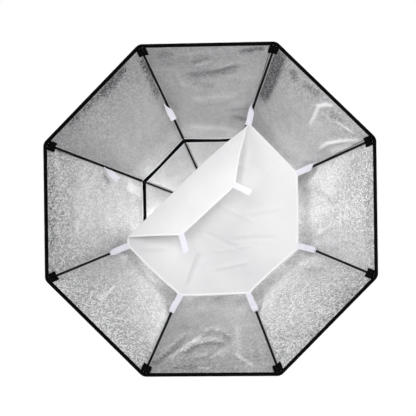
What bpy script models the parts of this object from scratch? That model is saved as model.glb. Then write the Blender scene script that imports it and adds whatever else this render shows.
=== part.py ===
"""Octabox: an octagonal fabric light box held open by eight sprung rods in a rotating speedring.

The frame has +Z up. The light points along -Y, so "forward" below means towards -Y.
The origin is the centre of the bayonet's rear end face, where the box meets its lamp head.
Rib 1 lies 22.5 degrees above +X, and the ribs are counted from +X towards +Z.
"""

from math import atan, cos, pi, radians, sin

import bmesh
import bpy
from mathutils import Matrix, Vector

# ---------------------------------------------------------------- driving dimensions, in metres

SIDES = 8
HALF_SIDE = pi / SIDES
GAP = 0.0003                    # between pieces that touch

# Rods: straight in the socket, then bowed forward by the stretched shell.
ROD_RADIUS = 0.002
SOCKET_RADIUS = 0.070           # where the rod's axis crosses the middle of the speedring
SOCKET_FORWARD = 0.0212
ROD_SLOPE = 0.40                # metres forward for each metre outward, in the socket
BOW_START = 0.085
ROD_BOW = 0.9336
ROD_FIRST = 0.0668
ROD_LAST = 0.4600
ROD_STEPS = 14

# Shell: fabric just outside the rods. Its stations are the rod radii that they lie beside.
SHELL_LIFT = -0.0045
FABRIC = 0.0015
COLLAR = (0.1010, 0.1060)
SEAM = (0.2068, 0.2124)
RIM = (0.4625, 0.4705)
RIB_GAP = 0.0006                # from each panel's side edge to the rib line
COLLAR_THICK = 0.0036
SEAM_THICK = 0.0024
RIM_THICK = 0.0030

# Corner pockets, which hold the rod tips at the rim.
POCKET = (0.4445, 0.4615)
POCKET_HALF = 0.0120
POCKET_VALLEY = -0.0029
POCKET_WING = 0.0012
POCKET_TOP = 0.0038
POCKET_BORE = 0.0024

# Speedring: a cast ring that turns on the hub of the bayonet insert.
TURN_STEPS = 48
BODY_INNER = 0.0546
BODY_OUTER = 0.0760
BODY_BACK = 0.0116
BODY_FRONT = 0.0308
BODY_CHAMFER = 0.0015
BOSS_RADIUS = 0.0060
BOSS_FROM = -0.008              # along the rod's axis, from where it crosses SOCKET_RADIUS
BOSS_TO = 0.016
BORE_FROM = -0.0040
BORE_RADIUS = 0.00235

# Bayonet insert: collar with lugs behind, flange, hub that the body turns on.
INSERT_INNER = 0.0460
COLLAR_OUTER = 0.0500
FLANGE_OUTER = 0.0700
HUB_OUTER = 0.0540
FLANGE_BACK = 0.0080
FLANGE_FRONT = 0.0110
HUB_FRONT = 0.0310
LUG_COUNT = 3
LUG_OUTER = 0.0550
LUG_WIDTH = 0.0240
LUG_THICK = 0.0025

RING_INNER = 0.0465
RING_OUTER = 0.0620
RING_BACK = 0.0313
RING_FRONT = 0.0343

# Lock knobs: thumbscrews through the body at both sides, onto the hub.
KNOB_TIP = 0.0544
KNOB_NECK = 0.0785
KNOB_END = 0.0905
KNOB_SCREW_RADIUS = 0.0030
KNOB_HEAD_RADIUS = 0.0070
KNOB_CHAMFER = 0.0012

# Inner diffuser: a taut octagonal sheet on hook-and-loop tabs, with two corners folded down.
SHEET_RADIUS = 0.2567
SHEET_THICK = 0.0015
SHEET_FORWARD = 0.16795
FOLD_OFFSET = 0.1085            # from the centre to the fold line
FOLD_SLANT = radians(43.5)      # the fold line's direction, from +X towards +Z
FOLD_RISE = 0.0005              # the fold line's height above the sheet's front
FLAP_OPEN = radians(147.0)      # how far the flap is folded from closed
FLAP_RIBS = (3, 4)

TAB_HALF = 0.0084
TAB_THICK = 0.0012
SHELL_TAB = (0.2625, 0.3080)
SHELL_TAB_FORWARD = 0.16650
SHEET_TAB_END = 0.3085
SHEET_TAB_FORWARD = 0.16800
# Released shell tabs, by rib: root radius, sideways shift of the root, direction it hangs in.
LOOSE_TABS = {
    3: (0.3200, 0.0030, radians(-63.0)),
    4: (0.3200, 0.0020, radians(-42.5)),
}
LOOSE_TAB_LENGTH = 0.0530
LOOSE_TAB_FORWARD = 0.1775


# ---------------------------------------------------------------- geometry shared by the pieces

def rib_angle(number):
    return HALF_SIDE * (2 * number - 1)


def rod_forward(radius):
    bow = max(0.0, radius - BOW_START)
    return SOCKET_FORWARD + ROD_SLOPE * (radius - SOCKET_RADIUS) + ROD_BOW * bow * bow


def rod_steepness(radius):
    return atan(ROD_SLOPE + 2 * ROD_BOW * max(0.0, radius - BOW_START))


def beside_rod(radius, lift):
    """(radius, forward) of the point at this distance to the inside of the rod's centre line."""
    steep = rod_steepness(radius)
    return radius - lift * sin(steep), rod_forward(radius) + lift * cos(steep)


def between(first, last, share):
    return first + (last - first) * share


# ---------------------------------------------------------------- scene and materials

def clear_scene():
    for item in list(bpy.data.objects):
        bpy.data.objects.remove(item, do_unlink=True)


def new_collection(name):
    collection = bpy.data.collections.new(name)
    bpy.context.scene.collection.children.link(collection)
    return collection


def new_material(name, colour, roughness, metallic=0.0):
    look = bpy.data.materials.new(name)
    look.use_nodes = True
    look.diffuse_color = (*colour, 1.0)
    shader = look.node_tree.nodes["Principled BSDF"]
    shader.inputs["Base Color"].default_value = (*colour, 1.0)
    shader.inputs["Roughness"].default_value = roughness
    shader.inputs["Metallic"].default_value = metallic
    return look


def add_object(name, data, collection, look=None):
    item = bpy.data.objects.new(name, data)
    collection.objects.link(item)
    if look and look.name not in data.materials:
        data.materials.append(look)
    return item


def add_cutter(name, data):
    item = add_object(name, data, cutters)
    item.hide_render = True
    item.display_type = "WIRE"
    return item


def turn_about_axis(item, angle):
    """Turns a piece made along +X to this angle from +X towards +Z."""
    item.rotation_euler = (0.0, -angle, 0.0)


def smooth(mesh, sharp=radians(35)):
    mesh.shade_smooth()
    mesh.set_sharp_from_angle(angle=sharp)


# ---------------------------------------------------------------- mesh helpers

def mesh_of(name, work):
    bmesh.ops.recalc_face_normals(work, faces=work.faces)
    mesh = bpy.data.meshes.new(name)
    work.to_mesh(mesh)
    work.free()
    return mesh


def prism(name, outline, along):
    """A closed prism: the outline's face, extruded by the vector along."""
    work = bmesh.new()
    face = work.faces.new([work.verts.new(point) for point in outline])
    extruded = bmesh.ops.extrude_face_region(work, geom=[face])
    moved = [part for part in extruded["geom"] if isinstance(part, bmesh.types.BMVert)]
    bmesh.ops.translate(work, verts=moved, vec=along)
    return mesh_of(name, work)


def cylinders(name, axes, radius, segments):
    """Closed cylinders, one for each (start, end) pair of points."""
    work = bmesh.new()
    for start, end in axes:
        along = end - start
        turn = along.to_track_quat("Z", "Y").to_matrix().to_4x4()
        bmesh.ops.create_cone(
            work,
            cap_ends=True,
            segments=segments,
            radius1=radius,
            radius2=radius,
            depth=along.length,
            matrix=Matrix.Translation((start + end) / 2) @ turn,
        )
    return mesh_of(name, work)


def slab(name, low, high):
    """A box between two corners, from a unit cube."""
    work = bmesh.new()
    size = Matrix.Diagonal((*(high - low), 1.0))
    bmesh.ops.create_cube(work, size=1.0, matrix=Matrix.Translation((low + high) / 2) @ size)
    return mesh_of(name, work)


def closed_profile(name, points):
    """A closed wire outline, for a Screw modifier to turn."""
    work = bmesh.new()
    corners = [work.verts.new(point) for point in points]
    for index, corner in enumerate(corners):
        work.edges.new((corner, corners[index - 1]))
    mesh = bpy.data.meshes.new(name)
    work.to_mesh(mesh)
    work.free()
    return mesh


def turned(item, axis, steps):
    screw = item.modifiers.new("turn", "SCREW")
    screw.axis = axis
    screw.angle = 2 * pi
    screw.steps = steps
    screw.render_steps = steps
    screw.use_merge_vertices = True
    screw.merge_threshold = 0.00001


def boolean(item, cutter, operation):
    modifier = item.modifiers.new(cutter.name, "BOOLEAN")
    modifier.object = cutter
    modifier.operation = operation


def baked(item):
    """The object's mesh with its modifiers applied. The object itself is removed."""
    bpy.context.view_layer.update()
    graph = bpy.context.evaluated_depsgraph_get()
    mesh = bpy.data.meshes.new_from_object(item.evaluated_get(graph))
    bpy.data.objects.remove(item, do_unlink=True)
    return mesh


# ---------------------------------------------------------------- rods and corner pockets

def make_rods():
    curve = bpy.data.curves.new("rod", "CURVE")
    curve.dimensions = "3D"
    curve.bevel_depth = ROD_RADIUS
    curve.bevel_resolution = 2
    curve.use_fill_caps = True
    radii = [ROD_FIRST] + [
        between(BOW_START, ROD_LAST, step / ROD_STEPS) for step in range(ROD_STEPS + 1)
    ]
    spline = curve.splines.new("POLY")
    spline.points.add(len(radii) - 1)
    for point, radius in zip(spline.points, radii):
        point.co = (radius, -rod_forward(radius), 0.0, 1.0)
    for number in range(1, SIDES + 1):
        rod = add_object(f"rod_{number}", curve, pieces, coated_steel)
        turn_about_axis(rod, rib_angle(number))


def pocket_mesh():
    """A folded fabric pocket: flat inside, V-shaped behind to sit in the shell's corner."""
    middle = (POCKET[0] + POCKET[1]) / 2
    steep = rod_steepness(middle)
    centre = Vector((middle, -rod_forward(middle), 0.0))
    along = Vector((cos(steep), -sin(steep), 0.0))
    inward = Vector((-sin(steep), -cos(steep), 0.0))
    across = Vector((0.0, 0.0, 1.0))
    half = (POCKET[1] - POCKET[0]) / 2 / cos(steep)
    section = [
        (0.0, POCKET_VALLEY),
        (POCKET_HALF, POCKET_WING),
        (POCKET_HALF, POCKET_TOP),
        (-POCKET_HALF, POCKET_TOP),
        (-POCKET_HALF, POCKET_WING),
    ]
    outline = [centre - along * half + across * side + inward * rise for side, rise in section]
    block = add_object("pocket_block", prism("pocket", outline, along * 2 * half), pieces)
    tip = Vector((ROD_LAST, -rod_forward(ROD_LAST), 0.0))
    mouth = centre - along * (half + 0.002)
    hole = [(mouth, tip + along * GAP)]
    bore = add_cutter("pocket_bore", cylinders("pocket_bore", hole, POCKET_BORE, 12))
    boolean(block, bore, "DIFFERENCE")
    mesh = baked(block)
    bpy.data.objects.remove(bore, do_unlink=True)
    return mesh


def make_pockets():
    mesh = pocket_mesh()
    for number in range(1, SIDES + 1):
        pocket = add_object(f"corner_pocket_{number}", mesh, pieces, black_nylon)
        turn_about_axis(pocket, rib_angle(number))


# ---------------------------------------------------------------- fabric shell

def panel_mesh(name, first, last, rows):
    """One side of the shell between two stations: curved along the rods, straight across."""
    work = bmesh.new()
    bmesh.ops.create_grid(work, x_segments=rows, y_segments=1, size=0.5)
    for vertex in work.verts:
        station = between(first, last, vertex.co.x + 0.5)
        radius, forward = beside_rod(station, SHELL_LIFT)
        half_width = radius * sin(HALF_SIDE) - RIB_GAP
        vertex.co = (radius * cos(HALF_SIDE), -forward, 2 * vertex.co.y * half_width)
    return mesh_of(name, work)


def make_panels(kind, first, last, rows):
    mesh = panel_mesh(kind, first + GAP, last - GAP, rows)
    for number in range(1, SIDES + 1):
        panel = add_object(f"{kind}_{number}", mesh, pieces, silver_cloth)
        turn_about_axis(panel, 2 * HALF_SIDE * (number - 1))
        thicken = panel.modifiers.new("cloth", "SOLIDIFY")
        thicken.thickness = FABRIC
        thicken.offset = 0.0


def make_band(name, stations, thickness, look):
    """A folded tape along one station of the shell: a flat section, mitred at the eight ribs."""
    section = [
        beside_rod(stations[0], SHELL_LIFT - thickness / 2),
        beside_rod(stations[0], SHELL_LIFT + thickness / 2),
        beside_rod(stations[1], SHELL_LIFT + thickness / 2),
        beside_rod(stations[1], SHELL_LIFT - thickness / 2),
    ]
    points = [
        (radius * cos(HALF_SIDE), -forward, radius * sin(HALF_SIDE)) for radius, forward in section
    ]
    band = add_object(name, closed_profile(name, points), pieces, look)
    turned(band, "Y", SIDES)


def make_shell():
    make_panels("side_panel", SEAM[1], RIM[0], 10)
    make_panels("rear_panel", COLLAR[1], SEAM[0], 5)
    make_band("rim_binding", RIM, RIM_THICK, black_nylon)
    make_band("seam_binding", SEAM, SEAM_THICK, black_nylon)
    make_band("rear_collar", COLLAR, COLLAR_THICK, black_nylon)


# ---------------------------------------------------------------- speedring and bayonet insert

def make_turned_ring(name, section, look):
    """A ring about the Y axis. The section is a list of (radius, forward) points."""
    points = [(radius, -forward, 0.0) for radius, forward in section]
    ring = add_object(name, closed_profile(name, points), pieces, look)
    turned(ring, "Y", TURN_STEPS)
    return ring


def socket_axis(number, start, end):
    """Two points on a rod's axis in its socket, at distances from where it crosses SOCKET_RADIUS."""
    steep = atan(ROD_SLOPE)
    angle = rib_angle(number)
    points = []
    for distance in (start, end):
        radius = SOCKET_RADIUS + distance * cos(steep)
        forward = SOCKET_FORWARD + distance * sin(steep)
        points.append(Vector((radius * cos(angle), -forward, radius * sin(angle))))
    return tuple(points)


def make_speedring():
    body = make_turned_ring(
        "speedring_body",
        [
            (BODY_OUTER - BODY_CHAMFER, BODY_BACK),
            (BODY_INNER, BODY_BACK),
            (BODY_INNER, BODY_FRONT),
            (BODY_OUTER - BODY_CHAMFER, BODY_FRONT),
            (BODY_OUTER, BODY_FRONT - BODY_CHAMFER),
            (BODY_OUTER, BODY_BACK + BODY_CHAMFER),
        ],
        cast_alloy,
    )
    ribs = range(1, SIDES + 1)
    bosses = [socket_axis(number, BOSS_FROM, BOSS_TO) for number in ribs]
    bores = [socket_axis(number, BORE_FROM, BOSS_TO + 0.004) for number in ribs]
    clear = KNOB_SCREW_RADIUS + GAP
    holes = [
        (
            Vector((side * (BODY_INNER - 0.003), -SOCKET_FORWARD, 0.0)),
            Vector((side * (BODY_OUTER + 0.003), -SOCKET_FORWARD, 0.0)),
        )
        for side in (1, -1)
    ]
    boolean(body, add_cutter("socket_bosses", cylinders("bosses", bosses, BOSS_RADIUS, 20)), "UNION")
    boolean(body, add_cutter("socket_bores", cylinders("bores", bores, BORE_RADIUS, 12)), "DIFFERENCE")
    boolean(body, add_cutter("knob_holes", cylinders("holes", holes, clear, 16)), "DIFFERENCE")


def make_insert():
    insert = make_turned_ring(
        "mount_insert",
        [
            (COLLAR_OUTER, 0.0),
            (INSERT_INNER, 0.0),
            (INSERT_INNER, FLANGE_FRONT),
            (FLANGE_OUTER, FLANGE_FRONT),
            (FLANGE_OUTER, FLANGE_BACK),
            (COLLAR_OUTER, FLANGE_BACK),
        ],
        bright_steel,
    )
    for number in range(LUG_COUNT):
        low = Vector((INSERT_INNER + 0.002, -LUG_THICK, -LUG_WIDTH / 2))
        high = Vector((LUG_OUTER, 0.0, LUG_WIDTH / 2))
        lug = add_cutter(f"lug_{number + 1}", slab("lug", low, high))
        turn_about_axis(lug, pi / 2 + 2 * pi / LUG_COUNT * number)
        boolean(insert, lug, "UNION")


def make_hub():
    """The plain bearing that the body turns on, screwed between the flange and the retaining ring."""
    section = [
        (HUB_OUTER, FLANGE_FRONT + GAP),
        (INSERT_INNER, FLANGE_FRONT + GAP),
        (INSERT_INNER, HUB_FRONT),
        (HUB_OUTER, HUB_FRONT),
    ]
    make_turned_ring("mount_hub", section, bright_steel)


def make_retaining_ring():
    section = [
        (RING_OUTER, RING_BACK),
        (RING_INNER, RING_BACK),
        (RING_INNER, RING_FRONT),
        (RING_OUTER, RING_FRONT),
    ]
    make_turned_ring("retaining_ring", section, bright_steel)


def make_lock_knobs():
    """Each knob is turned about its own screw axis, which runs outward from the hub."""
    section = [
        (KNOB_TIP, 0.0),
        (KNOB_TIP, KNOB_SCREW_RADIUS),
        (KNOB_NECK, KNOB_SCREW_RADIUS),
        (KNOB_NECK, KNOB_HEAD_RADIUS),
        (KNOB_END - KNOB_CHAMFER, KNOB_HEAD_RADIUS),
        (KNOB_END, KNOB_HEAD_RADIUS - KNOB_CHAMFER),
        (KNOB_END, 0.0),
    ]
    work = bmesh.new()
    corners = [work.verts.new((along, radius, 0.0)) for along, radius in section]
    for first, second in zip(corners, corners[1:]):
        work.edges.new((second, first))
    mesh = bpy.data.meshes.new("lock_knob")
    work.to_mesh(mesh)
    work.free()
    for name, angle in (("lock_knob_right", 0.0), ("lock_knob_left", pi)):
        knob = add_object(name, mesh, pieces, black_plastic)
        knob.location = (0.0, -SOCKET_FORWARD, 0.0)
        turn_about_axis(knob, angle)
        turned(knob, "X", 24)


# ---------------------------------------------------------------- inner diffuser and its tabs

FOLD_ALONG = Vector((cos(FOLD_SLANT), 0.0, sin(FOLD_SLANT)))
FOLD_OUTWARD = Vector((-sin(FOLD_SLANT), 0.0, cos(FOLD_SLANT)))
FOLD_POINT = FOLD_OUTWARD * FOLD_OFFSET + Vector(
    (0.0, -(SHEET_FORWARD + SHEET_THICK / 2 + FOLD_RISE), 0.0)
)


def sheet_corner(number):
    angle = rib_angle(number)
    return Vector((SHEET_RADIUS * cos(angle), 0.0, SHEET_RADIUS * sin(angle)))


def on_fold(first, second, offset):
    """Where the sheet's edge between two corners crosses a line parallel to the fold."""
    start = sheet_corner(first)
    end = sheet_corner(second)
    start_height = start.dot(FOLD_OUTWARD)
    share = (offset - start_height) / (end.dot(FOLD_OUTWARD) - start_height)
    return start.lerp(end, share)


def sheet_piece(name, outline, look):
    back = Vector((0.0, -(SHEET_FORWARD - SHEET_THICK / 2), 0.0))
    mesh = prism(name, [point + back for point in outline], Vector((0.0, -SHEET_THICK, 0.0)))
    return add_object(name, mesh, pieces, look)


def fold_down(item):
    """Puts a piece's origin on the fold line, then swings it open about that line."""
    item.data.transform(Matrix.Translation(-FOLD_POINT))
    turn = Matrix.Rotation(FLAP_OPEN, 4, FOLD_ALONG)
    item.matrix_world = Matrix.Translation(FOLD_POINT) @ turn


def make_diffuser():
    inside = FOLD_OFFSET - GAP
    outside = FOLD_OFFSET + GAP
    main = [sheet_corner(number) for number in (5, 6, 7, 8, 1, 2)]
    main += [on_fold(2, 3, inside), on_fold(5, 4, inside)]
    sheet_piece("inner_diffuser", main, white_cloth)
    folded = [on_fold(2, 3, outside), sheet_corner(3), sheet_corner(4), on_fold(5, 4, outside)]
    fold_down(sheet_piece("diffuser_flap", folded, white_cloth))


def tab_slab(name, first, last, forward):
    """A flat tab along +X between two radii, centred on this forward distance."""
    low = Vector((first, -(forward + TAB_THICK / 2), -TAB_HALF))
    high = Vector((last, -(forward - TAB_THICK / 2), TAB_HALF))
    return slab(name, low, high)


def make_diffuser_tabs():
    for number in range(1, SIDES + 1):
        mesh = tab_slab("diffuser_tab", SHEET_RADIUS + 0.0036, SHEET_TAB_END, SHEET_TAB_FORWARD)
        mesh.transform(Matrix.Rotation(-rib_angle(number), 4, "Y"))
        tab = add_object(f"diffuser_tab_{number}", mesh, pieces, white_webbing)
        if number in FLAP_RIBS:
            fold_down(tab)


def make_shell_tabs():
    """The attached tabs lie behind the diffuser's. The two released ones hang from their roots."""
    attached = tab_slab("shell_tab", *SHELL_TAB, SHELL_TAB_FORWARD)
    loose = tab_slab("loose_tab", 0.0, LOOSE_TAB_LENGTH, 0.0)
    for number in range(1, SIDES + 1):
        angle = rib_angle(number)
        if number in FLAP_RIBS:
            tab = add_object(f"shell_tab_{number}", loose, pieces, white_webbing)
            radius, shift, hang = LOOSE_TABS[number]
            root = Vector((cos(angle), 0.0, sin(angle))) * radius
            root += Vector((-sin(angle), 0.0, cos(angle))) * shift
            tab.location = root + Vector((0.0, -LOOSE_TAB_FORWARD, 0.0))
            turn_about_axis(tab, hang)
        else:
            tab = add_object(f"shell_tab_{number}", attached, pieces, white_webbing)
            turn_about_axis(tab, angle)


# ---------------------------------------------------------------- the whole object

clear_scene()
pieces = new_collection("octabox")
cutters = new_collection("cutters")

coated_steel = new_material("coated_steel", (0.02, 0.02, 0.02), 0.35)
black_nylon = new_material("black_nylon", (0.015, 0.015, 0.017), 0.85)
silver_cloth = new_material("silver_cloth", (0.62, 0.62, 0.64), 0.35, 0.8)
cast_alloy = new_material("cast_alloy", (0.10, 0.10, 0.11), 0.45, 0.6)
bright_steel = new_material("bright_steel", (0.55, 0.55, 0.57), 0.3, 1.0)
black_plastic = new_material("black_plastic", (0.02, 0.02, 0.02), 0.5)
white_cloth = new_material("white_cloth", (0.88, 0.88, 0.89), 0.75)
white_webbing = new_material("white_webbing", (0.86, 0.85, 0.91), 0.8)

make_rods()
make_pockets()
make_shell()
make_insert()
make_hub()
make_speedring()
make_retaining_ring()
make_lock_knobs()
make_diffuser()
make_diffuser_tabs()
make_shell_tabs()

for item in pieces.objects:
    if item.type == "MESH":
        smooth(item.data)
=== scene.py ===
"""Looks of an octagonal softbox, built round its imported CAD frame.

+Z is up and the light leaves along -Y, so "forward" below means towards -Y. Rib 1 lies 22.5
degrees above +X and the ribs are counted towards +Z. Side n lies between rib n - 1 and rib n.
"""
from math import atan, atan2, cos, pi, radians, sin, tan

import bmesh
import bpy
import numpy as np
from mathutils import Matrix, Vector, noise


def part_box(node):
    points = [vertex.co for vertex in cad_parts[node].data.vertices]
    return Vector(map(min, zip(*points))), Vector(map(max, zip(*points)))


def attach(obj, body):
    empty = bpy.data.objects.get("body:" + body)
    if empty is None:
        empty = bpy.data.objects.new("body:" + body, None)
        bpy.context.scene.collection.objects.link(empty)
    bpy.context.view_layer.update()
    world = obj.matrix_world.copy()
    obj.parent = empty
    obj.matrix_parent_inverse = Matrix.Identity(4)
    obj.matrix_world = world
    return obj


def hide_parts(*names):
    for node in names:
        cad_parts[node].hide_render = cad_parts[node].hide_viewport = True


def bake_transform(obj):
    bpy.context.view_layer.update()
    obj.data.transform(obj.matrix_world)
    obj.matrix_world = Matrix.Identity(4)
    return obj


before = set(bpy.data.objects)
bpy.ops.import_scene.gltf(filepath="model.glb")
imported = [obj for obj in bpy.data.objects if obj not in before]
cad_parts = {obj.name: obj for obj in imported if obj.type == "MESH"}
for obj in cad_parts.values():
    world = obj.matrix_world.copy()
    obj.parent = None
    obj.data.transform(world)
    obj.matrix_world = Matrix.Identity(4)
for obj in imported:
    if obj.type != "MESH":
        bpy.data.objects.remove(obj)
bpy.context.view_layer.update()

# ------------------------------------------------ dimensions of the CAD model, in metres

SIDES = 8
HALF_SIDE = pi / SIDES
SOCKET_RADIUS = 0.070
SOCKET_FORWARD = 0.0212
ROD_SLOPE = 0.40
BOW_START = 0.085
ROD_BOW = 0.9336
ROD_RADIUS = 0.002
ROD_FIRST = 0.0668
ROD_LAST = 0.4600
SHELL_LIFT = -0.0045
COLLAR = (0.1010, 0.1060)
SEAM = (0.2068, 0.2124)
RIM = (0.4625, 0.4705)
POCKET = (0.4445, 0.4615)
POCKET_HALF = 0.0120
SHEET_RADIUS = 0.2567
SHEET_FORWARD = 0.16795
FOLD_OFFSET = 0.1085
FOLD_SLANT = radians(43.5)
TAB_WIDTH = 0.0168
RIBS = range(1, SIDES + 1)
LOOSE_RIBS = (3, 4)

# ------------------------------------------------ geometry shared by the pieces

FORWARD = np.array([0.0, -1.0, 0.0])
UP = np.array([0.0, 0.0, 1.0])
IN_PLANE = np.array([1.0, 0.0, 1.0])


def rib_angle(number):
    return HALF_SIDE * (2 * number - 1)


def outward(angle):
    return np.array([cos(angle), 0.0, sin(angle)])


def rod_forward(radius):
    bow = max(0.0, radius - BOW_START)
    return SOCKET_FORWARD + ROD_SLOPE * (radius - SOCKET_RADIUS) + ROD_BOW * bow * bow


def rod_steepness(radius):
    return atan(ROD_SLOPE + 2 * ROD_BOW * max(0.0, radius - BOW_START))


def beside_rod(radius, lift):
    """(radius, forward) of the point this far to the inside of a rod's centre line."""
    steep = rod_steepness(radius)
    return radius - lift * sin(steep), rod_forward(radius) + lift * cos(steep)


def rib_point(number, station, lift=0.0):
    radius, forward = beside_rod(station, lift)
    return outward(rib_angle(number)) * radius + FORWARD * forward


def unit(vectors):
    return vectors / np.maximum(np.linalg.norm(vectors, axis=-1, keepdims=True), 1e-12)


def smooth_step(value):
    value = np.clip(value, 0.0, 1.0)
    return value * value * (3 - 2 * value)


def grid_normals(points, wrap_rows=False, wrap_columns=False):
    def slope(axis, wrap):
        if wrap:
            return np.roll(points, -1, axis) - np.roll(points, 1, axis)
        return np.gradient(points, axis=axis)

    return unit(np.cross(slope(0, wrap_rows), slope(1, wrap_columns)))


def noise_at(points, size, seed, stretch=(1.0, 1.0, 1.0)):
    """Smooth noise from -1 to 1 at each point, with features about this size in metres."""
    shape = points.shape[:-1]
    scaled = points.reshape(-1, points.shape[-1]) / size * np.array(stretch[:points.shape[-1]])
    if points.shape[-1] == 2:
        scaled = np.c_[scaled, np.zeros(len(scaled))]
    offset = Vector((seed * 17.31, seed * 5.77, seed * 9.13))
    return np.array([noise.noise(Vector(p) + offset) for p in scaled.tolist()]).reshape(shape)


# ------------------------------------------------ mesh helpers

def link(obj, *looks):
    bpy.context.scene.collection.objects.link(obj)
    for look in looks:
        obj.data.materials.append(look)
    return obj


def metre_uv(points, wrap_rows, wrap_columns):
    """Lengths over the surface, so that a weave keeps one size on every piece."""
    if wrap_rows:
        points = np.concatenate([points, points[:1]], axis=0)
    if wrap_columns:
        points = np.concatenate([points, points[:, :1]], axis=1)
    across = np.linalg.norm(np.diff(points, axis=1), axis=2)
    across = np.concatenate([np.zeros((len(points), 1)), np.cumsum(across, axis=1)], axis=1)
    across -= across[:, -1:] / 2
    middle = points[:, points.shape[1] // 2]
    along = np.linalg.norm(np.diff(middle, axis=0), axis=1)
    along = np.concatenate([[0.0], np.cumsum(along)])
    return np.stack([across, np.repeat(along[:, None], points.shape[1], axis=1)], axis=2)


def grid_piece(name, points, looks, wrap_rows=False, wrap_columns=False, flip=False, uv=None,
               caps=False):
    rows, columns = points.shape[:2]
    if uv is None:
        uv = metre_uv(points, wrap_rows, wrap_columns)
    faces = []
    corners = []
    for row in range(rows if wrap_rows else rows - 1):
        for column in range(columns if wrap_columns else columns - 1):
            face = [(row, column), (row, column + 1), (row + 1, column + 1), (row + 1, column)]
            if flip:
                face.reverse()
            faces.append([(r % rows) * columns + c % columns for r, c in face])
            corners.extend(uv[r, c] for r, c in face)
    if caps:
        ends = [list(range(columns)), [(rows - 1) * columns + c for c in range(columns)]]
        ends[0 if flip else 1].reverse()
        ends[0].reverse()
        ends[1].reverse()
        for end in ends:
            faces.append(end)
            corners.extend(uv[index // columns, index % columns] for index in end)
    mesh = bpy.data.meshes.new(name)
    mesh.from_pydata(points.reshape(-1, 3).tolist(), [], faces)
    layer = mesh.uv_layers.new(name="weave")
    layer.data.foreach_set("uv", np.array(corners, np.float32).ravel())
    mesh.shade_smooth()
    mesh.update()
    return link(bpy.data.objects.new(name, mesh), *looks)


def thicken(obj, thickness, offset=-1.0, outer=0):
    cloth = obj.modifiers.new("thickness", "SOLIDIFY")
    cloth.thickness = thickness
    cloth.offset = offset
    cloth.use_quality_normals = True
    cloth.material_offset = outer
    cloth.material_offset_rim = outer
    return obj


def outward_faces(obj):
    work = bmesh.new()
    work.from_mesh(obj.data)
    bmesh.ops.recalc_face_normals(work, faces=work.faces)
    work.to_mesh(obj.data)
    work.free()
    return obj


def swept(name, path, sides, section, look, closed=True):
    """Carries a closed section of (side, up) points along a path with given side vectors."""
    if closed:
        tangents = unit(np.roll(path, -1, axis=0) - np.roll(path, 1, axis=0))
    else:
        tangents = unit(np.gradient(path, axis=0))
    sides = unit(sides - tangents * (sides * tangents).sum(axis=1, keepdims=True))
    ups = np.cross(sides, tangents)
    section = np.asarray(section, float)
    if section.ndim == 2:
        section = np.repeat(section[None], len(path), axis=0)
    points = path[:, None] + sides[:, None] * section[..., :1] + ups[:, None] * section[..., 1:]
    return outward_faces(grid_piece(name, points, (look,), wrap_rows=closed, wrap_columns=True,
                                    caps=not closed))


def rounded_section(width, height, corner_points=4, power=4.0):
    """A flat section with full, rounded edges."""
    turns = np.linspace(0, 2 * pi, 4 * corner_points, endpoint=False)
    side = np.sign(np.cos(turns)) * np.abs(np.cos(turns)) ** (2 / power) * width / 2
    up = np.sign(np.sin(turns)) * np.abs(np.sin(turns)) ** (2 / power) * height / 2
    return np.stack([side, up], axis=1)


def lathe(name, profile, look, steps, axis, centre, ripple=None):
    """Turns a closed profile of (radius, along) points about an axis through a centre."""
    turns = np.linspace(0, 2 * pi, steps, endpoint=False)
    profile = np.asarray(profile, float)
    radius = np.repeat(profile[None, :, 0], steps, axis=0)
    along = np.repeat(profile[None, :, 1], steps, axis=0)
    if ripple is not None:
        radius = ripple(radius, along, turns[:, None])
    first, second = radius * np.cos(turns)[:, None], radius * np.sin(turns)[:, None]
    if axis == "Y":
        points = np.stack([first, along, second], axis=2)
    else:
        points = np.stack([along, first, second], axis=2)
    return outward_faces(grid_piece(name, points + np.array(centre), (look,), wrap_rows=True,
                                    wrap_columns=True, flip=axis != "Y"))


def bevelled(points, size, steps=2):
    """Rounds each corner of a closed profile."""
    result = []
    count = len(points)
    for index in range(count):
        here = np.array(points[index], float)
        before = np.array(points[index - 1], float) - here
        after = np.array(points[(index + 1) % count], float) - here
        cut = min(size, 0.45 * np.linalg.norm(before), 0.45 * np.linalg.norm(after))
        start, end = here + unit(before) * cut, here + unit(after) * cut
        for step in range(steps + 1):
            share = step / steps
            result.append(
                (1 - share) ** 2 * start + 2 * share * (1 - share) * here + share ** 2 * end
            )
    return result


def sharp_edges(obj, angle=35):
    obj.data.set_sharp_from_angle(angle=radians(angle))
    return obj


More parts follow.
